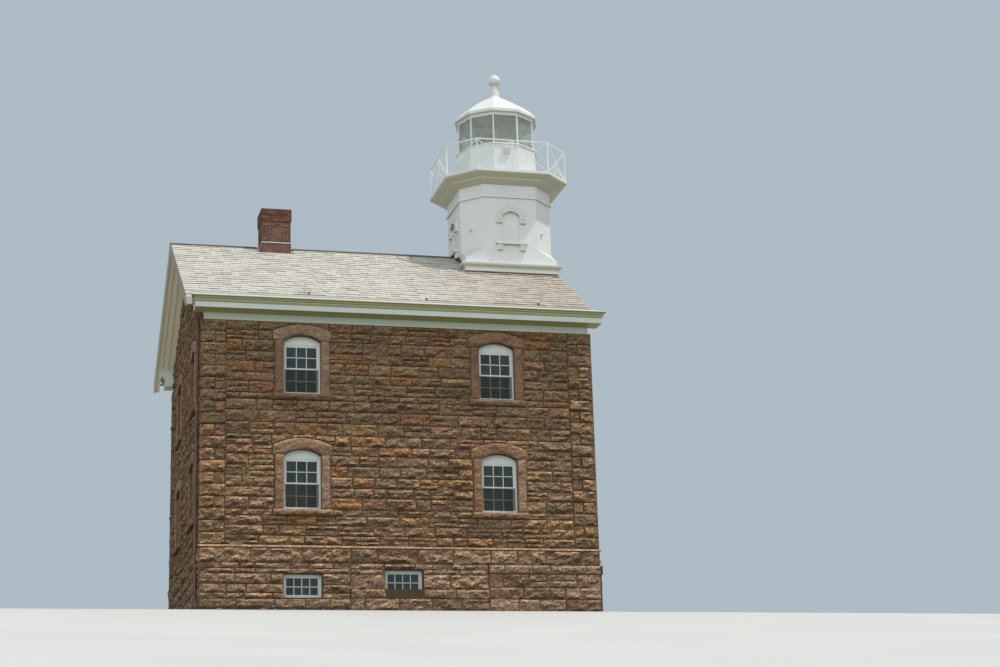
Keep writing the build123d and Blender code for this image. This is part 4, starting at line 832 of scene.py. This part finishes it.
def lay_quoins(quoins, pile, side, rng):
    """A wall's quoins, long and short by turns, with stones beside the short ones."""
    half = HALF_WIDTHS[side]
    for index in range(QUOIN_COUNT):
        low = BASE_TOP + index * QUOIN_STEP
        high = low + QUOIN_STEP
        long = (index % 2 == 0) == (side in LONG_WALLS)
        inner = half - (QUOIN_LONG if long else QUOIN_SHORT)
        for hand in (-1, 1):
            rock_face(
                quoins, side, sorted((hand * inner, hand * half)), (low + JOINT / 2, high - JOINT / 2),
                QUOIN_PROUD, rng, rough=QUOIN_ROUGH, offset=QUOIN_SEAT, wrap=hand,
            )
            if not long:
                beside = sorted((hand * (half - QUOIN_LONG), hand * inner))
                lay_stones(pile, side, beside, low, high, rng, WALL_PROUD * 0.9)


def build_walls(found):
    """Split granite facing on the four walls, with proud quoins at the corners."""
    rng = random.Random(11)
    quoins = Pile()
    for side in WALLS:
        pile = Pile()
        lay_wall(pile, side, rng)
        lay_quoins(quoins, pile, side, rng)
        pile.finish("stones_" + side, found["stone"], "granite_walls")
    quoins.finish("corner_quoins", found["stone"], "granite_walls")


def footing_strips(side):
    """A wall's stretches with the top of the footing on each: u0, u1, top."""
    half = HALF_WIDTHS[side] + PLINTH
    if side not in LONG_WALLS:
        return [(-half, half, FOOTING_LEFT if side == "left" else FOOTING_RIGHT)]
    hand = LONG_WALLS[side]
    strips = [(*sorted((hand * a, hand * b)), top) for a, b, top in FOOTING_STEPS]
    return [(max(a, -half), min(b, half), top) for a, b, top in strips]


def build_foundation(found):
    """Water table, rough courses and stepped footing, on all four sides."""
    rng = random.Random(23)
    table = BASE_TOP - TABLE_HEIGHT
    for side in WALLS:
        pile = Pile()
        half = HALF_WIDTHS[side] + PLINTH
        holes = [
            (column - CELLAR_WIDTH / 2, column + CELLAR_WIDTH / 2, sill - 0.01, sill + CELLAR_HEIGHT)
            for column, sill in cellar_windows(side)
        ]
        breaks = {level for hole in holes for level in hole[2:]}
        lay_stones(
            pile, side, (-half, half), table, BASE_TOP - TABLE_SLOPE, rng, proud=0.05,
            offset=PLINTH, lengths=TABLE_LENGTHS, halved=0.0,
        )
        for a, b, top in footing_strips(side):
            foot = max(top - FOOTING_COURSE, 0)
            if table - top > LEAST_COURSE:
                levels = course_levels(top, table, breaks, BASE_COURSE, rng)
                lay_courses(pile, side, (a, b), levels, holes, rng, proud=0.042, offset=PLINTH)
            lay_courses(pile, side, (a, b), (foot, top), holes, rng, proud=0.032, offset=PLINTH + FOOTING)
            if foot > 0.05:
                levels = course_levels(0.0, foot, [], SUNK_COURSE, rng)
                lay_courses(pile, side, (a, b), levels, holes, rng, proud=0.034, offset=PLINTH + FOOTING / 2)
        pile.finish("base_stones_" + side, found["footing"], "granite_walls")


def build_weathering(found):
    """The sloping, rough top edge of the water table, all round the house."""
    rng = random.Random(29)
    pile = Pile()
    profile = ((PLINTH + 0.012, -0.075), (PLINTH + 0.046, -0.06), (PLINTH + 0.03, -0.02), (0.012, 0.004))
    gap = 0.004
    cell = 0.045
    chip_size = 0.012
    for side, (origin, along, out) in WALLS.items():
        half = HALF_WIDTHS[side]
        cuts = [*head_joints(-half, half, TABLE_LENGTHS, rng), half]
        for u0, u1 in zip(cuts, cuts[1:]):
            seed = rng.uniform(-50, 50)
            rows = []
            for reach, lift in profile:
                row = []
                for u in steps(u0 + gap, u1 - gap, cell):
                    place = u
                    if u == -half + gap:
                        place = u - reach
                    if u == half - gap:
                        place = u + reach
                    chip = chip_size * noise.noise(Vector((u * 9, lift * 40, seed)))
                    row.append(origin + along * place + out * (reach + chip) + UP * (BASE_TOP + lift))
                rows.append(row)
            pile.grid(rows, rng.uniform(0.5, 1.0))
    pile.finish("water_table_edge", found["footing"], "granite_walls")


def inset(low, high):
    """Both ends of a dressed stone's face, drawn in by the gap round it."""
    return min(low, high) + TRIM_GAP, max(low, high) - TRIM_GAP


def face_opening(pile, side, column, sill, width, rise, rng):
    """Split faces on the two jambs, the sill and the arched lintel of one opening."""
    half = width / 2
    head = sill + rise
    growth = (width - WINDOW_WIDTH) / 2
    trim = {"rough": 0.5, "offset": TRIM_PROUD}
    for hand in (-1, 1):
        ends = inset(column + hand * half, column + hand * (half + JAMB_WIDTH))
        rock_face(pile, side, ends, inset(sill, head), JAMB_RELIEF, rng, **trim)
    reach = SILL_HALF + growth
    rock_face(
        pile, side, inset(column - reach, column + reach), inset(sill - SILL_THICKNESS, sill),
        SILL_RELIEF, rng, rough=0.35, offset=SILL_PROUD,
    )
    reach = LINTEL_HALF + growth
    ears = head + ARCH_RISE + LINTEL_DEPTH - LINTEL_ARCH

    def under(u):
        share = min(1.0, abs(u - column) / half)
        return head + TRIM_GAP + ARCH_RISE * (1 - share * share)

    def over(u):
        share = min(1.0, abs(u - column) / reach)
        return ears - TRIM_GAP + LINTEL_ARCH * (1 - share * share)

    ends = inset(column - reach, column + reach)
    rock_face(pile, side, ends, (under, over), LINTEL_RELIEF, rng, **trim)


def build_trim_faces(found):
    """Split faces on the dressed stones that stand proud round each opening."""
    rng = random.Random(31)
    pile = Pile()
    for side, column, sill in storey_windows():
        face_opening(pile, side, column, sill, WINDOW_WIDTH, SPRING_RISE, rng)
    face_opening(pile, "back", 0.0, DOOR_SILL, DOOR_WIDTH, DOOR_RISE, rng)
    pile.finish("opening_stone_faces", found["dressed"], "dressed_stone")


def slope_axes(hand):
    """Directions down a roof slope and out of it. hand is -1 for the front slope and 1 for the back."""
    return Vector((0, hand * ROOF_COSINE, -ROOF_SINE)), Vector((0, hand * ROOF_SINE, ROOF_COSINE))


def lay_slate(pile, hand, ends, head, foot, lift, tone):
    """One slate with its foot raised, and the edge of its foot."""
    down, out = slope_axes(hand)
    places = [ends[0] + SLATE_GAP, ends[1] - SLATE_GAP][::-hand]
    rows = [
        [Vector((x, 0, RIDGE)) + down * reach + out * raised for x in places]
        for reach, raised in ((head, 0.001), (foot, lift))
    ]
    rows.append([point - out * SLATE_EDGE for point in rows[-1]])
    pile.grid(rows, tone)


def lay_slate_course(pile, hand, head, foot, rng):
    """One course of slates, left out under chimney and tower. Past the eave only the rake has slates."""
    left = slate_low[0]
    right = slate_high[0]
    out_from_ridge = (head + foot) / 2 * ROOF_COSINE
    below_eave = foot > EAVE_SLOPE
    x = left
    shift = rng.uniform(0.0, SLATE_SHIFT)
    while x < right - 0.01:
        width = rng.uniform(*SLATE_WIDTHS)
        end = min(right, x + width + (shift if x == left else 0))
        if right - end < SLATE_WIDTHS[0] / 2:
            end = right
        low = foot + rng.uniform(*SLATE_WANDER)
        middle = (x + end) / 2
        if below_eave and x < RAKE_END < end:
            end = RAKE_END
        at_rake = middle <= RAKE_END
        low = min(low, RAKE_SLOPE if at_rake else EAVE_SLOPE)
        over_eave = foot > EAVE_SLOPE + 0.02 and not at_rake
        at_stack = stack_low[0] - 0.01 < middle < stack_high[0] + 0.01 and out_from_ridge < stack_high[1]
        reach = min(end, TOWER_LEFT) if out_from_ridge < TOWER_HALF else end
        if not over_eave and not at_stack and low - head >= SLATE_LEAST and reach - x > SLATE_LEAST:
            lift = SLATE_LIFT * rng.uniform(0.7, 1.3)
            lay_slate(pile, hand, (x, reach), head, low, lift, rng.random())
        x = end


def build_slates(found):
    """Overlapping slates on both slopes."""
    rng = random.Random(47)
    courses = int(RAKE_SLOPE / SLATE_EXPOSURE) + 1
    for name, hand in (("front", -1), ("back", 1)):
        pile = Pile()
        for k in range(courses):
            foot = RAKE_SLOPE - (courses - 1 - k) * SLATE_EXPOSURE
            head = max(0.0, foot - SLATE_EXPOSURE - SLATE_LAP)
            if foot >= SLATE_FIRST:
                lay_slate_course(pile, hand, head, foot, rng)
        pile.finish("slates_" + name, found["slate"], "roof_slates")


def build_drip_edges(found):
    """Dark metal strips along the left ends of the slates: a drip edge that is also painted shade, the dark
    line under the slates' ends.
    """
    pile = Pile()
    short = 0.04
    for hand in (-1, 1):
        down, out = slope_axes(hand)
        middle = Vector((slate_low[0] + 0.0062, 0, RIDGE)) + down * ((RAKE_SLOPE - short) / 2) + out * 0.0105
        pile.box(middle, (0.012, RAKE_SLOPE - short, 0.025), (RIGHT, down, out))
    pile.finish("rake_drip_edges", found["ridge"], "copper_sheet")


def build_rake_battens(found):
    """Narrow battens over the joints of the three long boards under the left rake."""
    under = ROOF_THICKNESS + RAKE_SOFFIT * ROOF_COSINE + 0.006
    start = under * ROOF_PITCH + 0.02
    length = HALF_DEPTH / ROOF_COSINE - start - 0.05
    pile = Pile()
    for hand in (-1, 1):
        down, out = slope_axes(hand)
        for reach in BATTEN_REACHES:
            middle = Vector((slate_low[0] + reach, 0, RIDGE)) + down * (start + length / 2) - out * under
            pile.box(middle, (0.024, length, 0.016), (RIGHT, down, out))
    pile.finish("rake_battens", found["batten"], "rake_paint")


def stack_axes(turn):
    """Directions out of one side of the chimney and along it."""
    out = Vector((math.cos(turn * math.pi / 2), math.sin(turn * math.pi / 2), 0))
    return out, Vector((-out.y, out.x, 0))


def brick_spans(half, starts_halved):
    """Where the bricks of one side lie in one course."""
    spans = []
    start = -half
    if starts_halved:
        spans.append((start, start + BRICK_LENGTH / 2))
        start += BRICK_LENGTH / 2
    while start < half - 0.02:
        spans.append((start, min(half, start + BRICK_LENGTH)))
        start += BRICK_LENGTH
    return [(a, b) for a, b in spans if b - a >= BRICK_LEAST]


def build_bricks(found):
    """Brick facing of the stack above the roof and the corbelled cap."""
    rng = random.Random(59)
    pile = Pile()
    top = cap_high[2]
    sunk = 0.004
    for k in range(int((top - RIDGE + BRICKS_BELOW_RIDGE) / BRICK_RISE)):
        level = top - (k + 0.5) * BRICK_RISE
        half = CAP_HALF if level > cap_low[2] else STACK_HALF
        for turn in range(4):
            out, along = stack_axes(turn)
            for a, b in brick_spans(half, (k + turn) % 2):
                proud = 0.004 + rng.uniform(0, 0.002)
                middle = CHIMNEY + out * (half + (proud - sunk) / 2) + along * (a + b) / 2 + UP * level
                sizes = (proud + sunk, b - a - BRICK_JOINT, BRICK_RISE - BRICK_JOINT)
                pile.box(middle, sizes, (out, along, UP), rng.random())
    pile.finish("chimney_bricks", found["brick"], "chimney_brick")


def build_flashing_top_strip(found):
    """A pale strip, in the white joinery paint, along the upper edge of the chimney's flashing."""
    pile = Pile()
    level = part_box("chimney_flashing")[1][2] + 0.004
    sizes = (0.02, 2 * STACK_HALF + 0.036, 0.022)
    for turn in range(4):
        out, along = stack_axes(turn)
        pile.box(CHIMNEY + out * (STACK_HALF + 0.009) + UP * level, sizes, (out, along, UP))
    pile.finish("flashing_top_strip", found["joinery"], "chimney_brick")


def add_bars(pile, side, column, heights, clear, depth, places, parts):
    """Upright bars at the places, counted in parts of the clear width, and a level bar across them."""
    origin, along, out = WALLS[side]
    low, high = heights
    middle = origin - out * (depth - BAR_PROUD) + along * column + UP * (low + high) / 2
    for place in places:
        sizes = (BAR_WIDTH, BAR_DEPTH, high - low)
        pile.box(middle + along * clear * place / parts, sizes, (along, out, UP))
    pile.box(middle, (clear, BAR_DEPTH, BAR_WIDTH), (along, out, UP))


def build_window_bars(found):
    """Glazing bars: three lights across and two high in a sash, four and two in a cellar window."""
    pile = Pile()
    clear = WINDOW_WIDTH - 2 * FRAME_WIDTH - 2 * STILE_WIDTH
    rail = 0.024
    meeting = MEETING_RAIL + 0.012
    for side, column, sill in storey_windows():
        lower = (sill + FRAME_WIDTH + STILE_WIDTH, sill + meeting - rail)
        upper = (sill + meeting + rail, sill + SPRING_RISE - HEAD_WIDTH - STILE_WIDTH)
        for heights, depth in ((lower, UPPER_SASH_DEPTH + SASH_STEP), (upper, UPPER_SASH_DEPTH)):
            add_bars(pile, side, column, heights, clear, depth, (-1, 1), 6)
    rim = FRAME_WIDTH + STILE_WIDTH
    for side in LONG_WALLS:
        for column, sill in cellar_windows(side):
            heights = (sill + rim, sill + CELLAR_HEIGHT - rim)
            add_bars(pile, side, column, heights, CELLAR_WIDTH - 2 * rim, CELLAR_SASH_DEPTH, (-1, 0, 1), 4)
    pile.finish("glazing_bars", found["joinery"], "white_joinery")


def build_screens(found):
    """Insect screens before the lower sashes."""
    pile = Pile()
    foot = 0.094
    depth = 0.128
    sizes = (WINDOW_WIDTH - 0.084, 0.002, MEETING_RAIL - foot)
    for side, column, sill in storey_windows():
        origin, along, out = WALLS[side]
        centre = origin + along * column + UP * (sill + (foot + MEETING_RAIL) / 2) - out * depth
        pile.box(centre, sizes, (along, out, UP))
    pile.finish("window_screens", found["screen"], "window_panes")


def build_lantern_braces(found):
    """Flat diagonal braces behind the lantern's panes, leaning one way and then the other."""
    pile = Pile()
    sides = 10
    apothem = LANTERN_RADIUS * math.cos(math.pi / sides) - BRACE_INSET
    half = BRACE_SPREAD * apothem * math.tan(math.pi / sides)
    for k in range(sides):
        turn = math.radians(-90 + 360 / sides * k)
        out = Vector((math.cos(turn), math.sin(turn), 0))
        across = UP.cross(out) * (half if k % 2 else -half)
        foot = Vector((TOWER_X, 0, frame_low[2] + 0.05)) + out * apothem - across
        head = Vector((TOWER_X, 0, frame_high[2] - 0.1)) + out * apothem + across
        run = (head - foot).normalized()
        pile.box((foot + head) / 2, ((head - foot).length, 0.012, 0.045), (run, out, out.cross(run)))
    pile.finish("lantern_braces", found["brace"], "tower_paint")


def build_mouldings(found):
    """A small cove under the crown of each eave, on the upper part of its fascia."""
    pile = Pile()
    top = FRIEZE_BOTTOM + SOFFIT_RISE + FASCIA_HEIGHT
    profile = ((0.0, -0.064), (0.008, -0.064), (0.034, -0.01), (0.034, 0.0), (0.0, 0.0))
    for (low, high), hand in ((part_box("front_cornice"), -1), (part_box("back_cornice"), 1)):
        fascia = (low[1] if hand < 0 else high[1]) - hand * CROWN_RUN
        rows = []
        for reach, lift in profile:
            left = Vector((low[0] + 0.004, fascia + hand * reach, top + lift))
            right = Vector((high[0] - CROWN_RUN + reach, fascia + hand * reach, top + lift))
            rows.append([left, right][::-hand])
        pile.grid(rows, 0.5)
        pile.plate([row[0] for row in rows], reversed(range(len(rows))))
        pile.plate([row[1] for row in rows], range(len(rows)))
    pile.finish("eave_coves", found["eave"], "eave_paint")


def build_tower_eyes(found):
    """Ring bolts on three faces of the tower."""
    pile = Pile()
    half = math.sqrt(0.5)
    for place, facing in (
        ((2.39, 0.0, 11.1), (-1, 0, 0)),
        ((2.656, -0.998, 10.95), (-half, -half, 0)),
        ((4.619, -1.133, 10.89), (half, -half, 0)),
    ):
        facing = Vector(facing)
        pile.box(Vector(place) + facing * 0.03, (0.07, 0.05, 0.03), (UP.cross(facing), facing, UP))
    pile.finish("tower_eyes", found["trim"], "tower_paint")


def build_fittings(found):
    """Small iron fittings: hooks on the front slope, and the back door's knob, plate and hinges."""
    pile = Pile()
    down, out = slope_axes(-1)
    for x in HOOK_COLUMNS:
        pile.box(HOOK_LEVEL + RIGHT * x, (0.05, 0.11, 0.035), (RIGHT, down, out))
    square = (RIGHT, Vector((0, 1, 0)), UP)
    for lift, spread in ((0.9, 0.04), (1.0, 0.02)):
        pile.box(Vector((-0.37, HALF_DEPTH - 0.14, DOOR_SILL + lift)), (spread, 0.05, spread), square)
    for lift in (0.25, 1.0, 1.75):
        pile.box(Vector((0.45, HALF_DEPTH - 0.15, DOOR_SILL + lift)), (0.02, 0.02, 0.1), square)
    pile.finish("iron_fittings", found["iron"], "copper_sheet")


def dress_nodes(found):
    """Gives each CAD node the finish its name starts for, and the rest the tower's."""
    finishes = {
        "mortar": "front_wall back_wall left_gable right_gable foundation",
        "footing": "door_stoop",
        "dressed": "window_lintels window_jambs window_sills",
        "joinery": "window_frames upper_sashes lower_sashes door_frame entrance_door",
        "glass": "window_glass",
        "lantern_glass": "lantern_glass",
        "cement": "cellar_floor",
        "boards": "ground_floor upper_floor attic_floor",
        "slate": "roof_front roof_back",
        "ridge": "ridge_cap",
        "copper": "chimney_flashing tower_flashing rainwater_pipe",
        "eave": "front_cornice back_cornice",
        "rake": "left_rake right_rake",
        "chimney_mortar": "chimney_stack",
        "cap_mortar": "chimney_cap",
        "trim": "tower_window_trim",
        "soffit": "gallery_soffit",
        "rail": "railing",
    }
    for node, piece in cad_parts.items():
        keys = [key for key, starts in finishes.items() if node.startswith(tuple(starts.split()))]
        material = found[keys[0] if keys else "tower"]
        for slot in piece.material_slots:
            slot.material = material
        if not piece.material_slots:
            piece.data.materials.append(material)



def build_terrace():
    """A pale ground, level under the house and falling away before it, that throws back little light."""
    edge = FOUNDATION_FRONT - 0.02
    fall = 0.165
    far = 140.0
    points = [
        (-far, far, 0.0), (far, far, 0.0), (far, edge, 0.0), (-far, edge, 0.0),
        (far, edge - far, -far * fall), (-far, edge - far, -far * fall),
    ]
    mesh = bpy.data.meshes.new("terrace")
    mesh.from_pydata(points, [], [(0, 3, 2, 1), (3, 5, 4, 2)])
    shade = Shade("terrace_paint", roughness=0.9, specular=0.1)
    pale = shade.ramp(shade.noise(0.3, 3.0), (0.3, (0.6, 0.6, 0.59)), (0.7, (0.63, 0.63, 0.62)))
    shade.color(shade.mix(shade.node("LightPath", {}, "Is Diffuse Ray"), pale, (0.32, 0.33, 0.27)))
    mesh.materials.append(shade.material)
    add_object("terrace", mesh)


def build_sky():
    """Soft bluish light all round, and a darker tone where the sky itself is seen or mirrored."""
    world = bpy.data.worlds.new("studio")
    bpy.context.scene.world = world
    world.use_nodes = True
    nodes = world.node_tree.nodes
    links = world.node_tree.links
    light = nodes["Background"]
    seen = nodes.new("ShaderNodeBackground")
    for background, color, strength in ((light, (0.86, 0.95, 1.0), 0.5), (seen, (0.42, 0.5, 0.56), 1.0)):
        feed(links, background.inputs["Color"], color)
        feed(links, background.inputs["Strength"], strength)
    path = nodes.new("ShaderNodeLightPath")
    is_seen = path.outputs["Is Camera Ray"]
    for kind in ("Is Glossy Ray", "Is Transmission Ray"):
        either = nodes.new("ShaderNodeMath")
        either.operation = "MAXIMUM"
        feed(links, either.inputs[0], is_seen)
        feed(links, either.inputs[1], path.outputs[kind])
        is_seen = either.outputs[0]
    mixed = nodes.new("ShaderNodeMixShader")
    for socket, source in zip(mixed.inputs, (is_seen, light.outputs[0], seen.outputs[0])):
        feed(links, socket, source)
    feed(links, nodes["World Output"].inputs["Surface"], mixed.outputs[0])


def build_lamps():
    """A warm sun from high on the right and a broad, cooler fill from the front left."""
    for name, direction, strength, spread, color in (
        ("key_light", (-0.375, 0.175, -0.91), 2.5, 2.0, (1.0, 0.96, 0.89)),
        ("fill_light", (0.3, 0.95, -0.35), 0.66, 40.0, (0.92, 0.96, 1.0)),
    ):
        data = bpy.data.lights.new(name, "SUN")
        data.energy = strength
        data.angle = math.radians(spread)
        data.color = color
        lamp = add_object(name, data)
        lamp.rotation_mode = "QUATERNION"
        lamp.rotation_quaternion = Vector(direction).to_track_quat("-Z", "Y")


make_camera()
materials = {**make_stone_finishes(), **make_painted_finishes(), **make_other_finishes()}
dress_nodes(materials)
build_walls(materials)
build_foundation(materials)
build_weathering(materials)
build_trim_faces(materials)
build_slates(materials)
build_drip_edges(materials)
build_rake_battens(materials)
build_bricks(materials)
build_flashing_top_strip(materials)
build_window_bars(materials)
build_screens(materials)
build_lantern_braces(materials)
build_mouldings(materials)
build_tower_eyes(materials)
build_fittings(materials)
build_terrace()
build_sky()
build_lamps()
bpy.context.scene.view_settings.view_transform = "Standard"
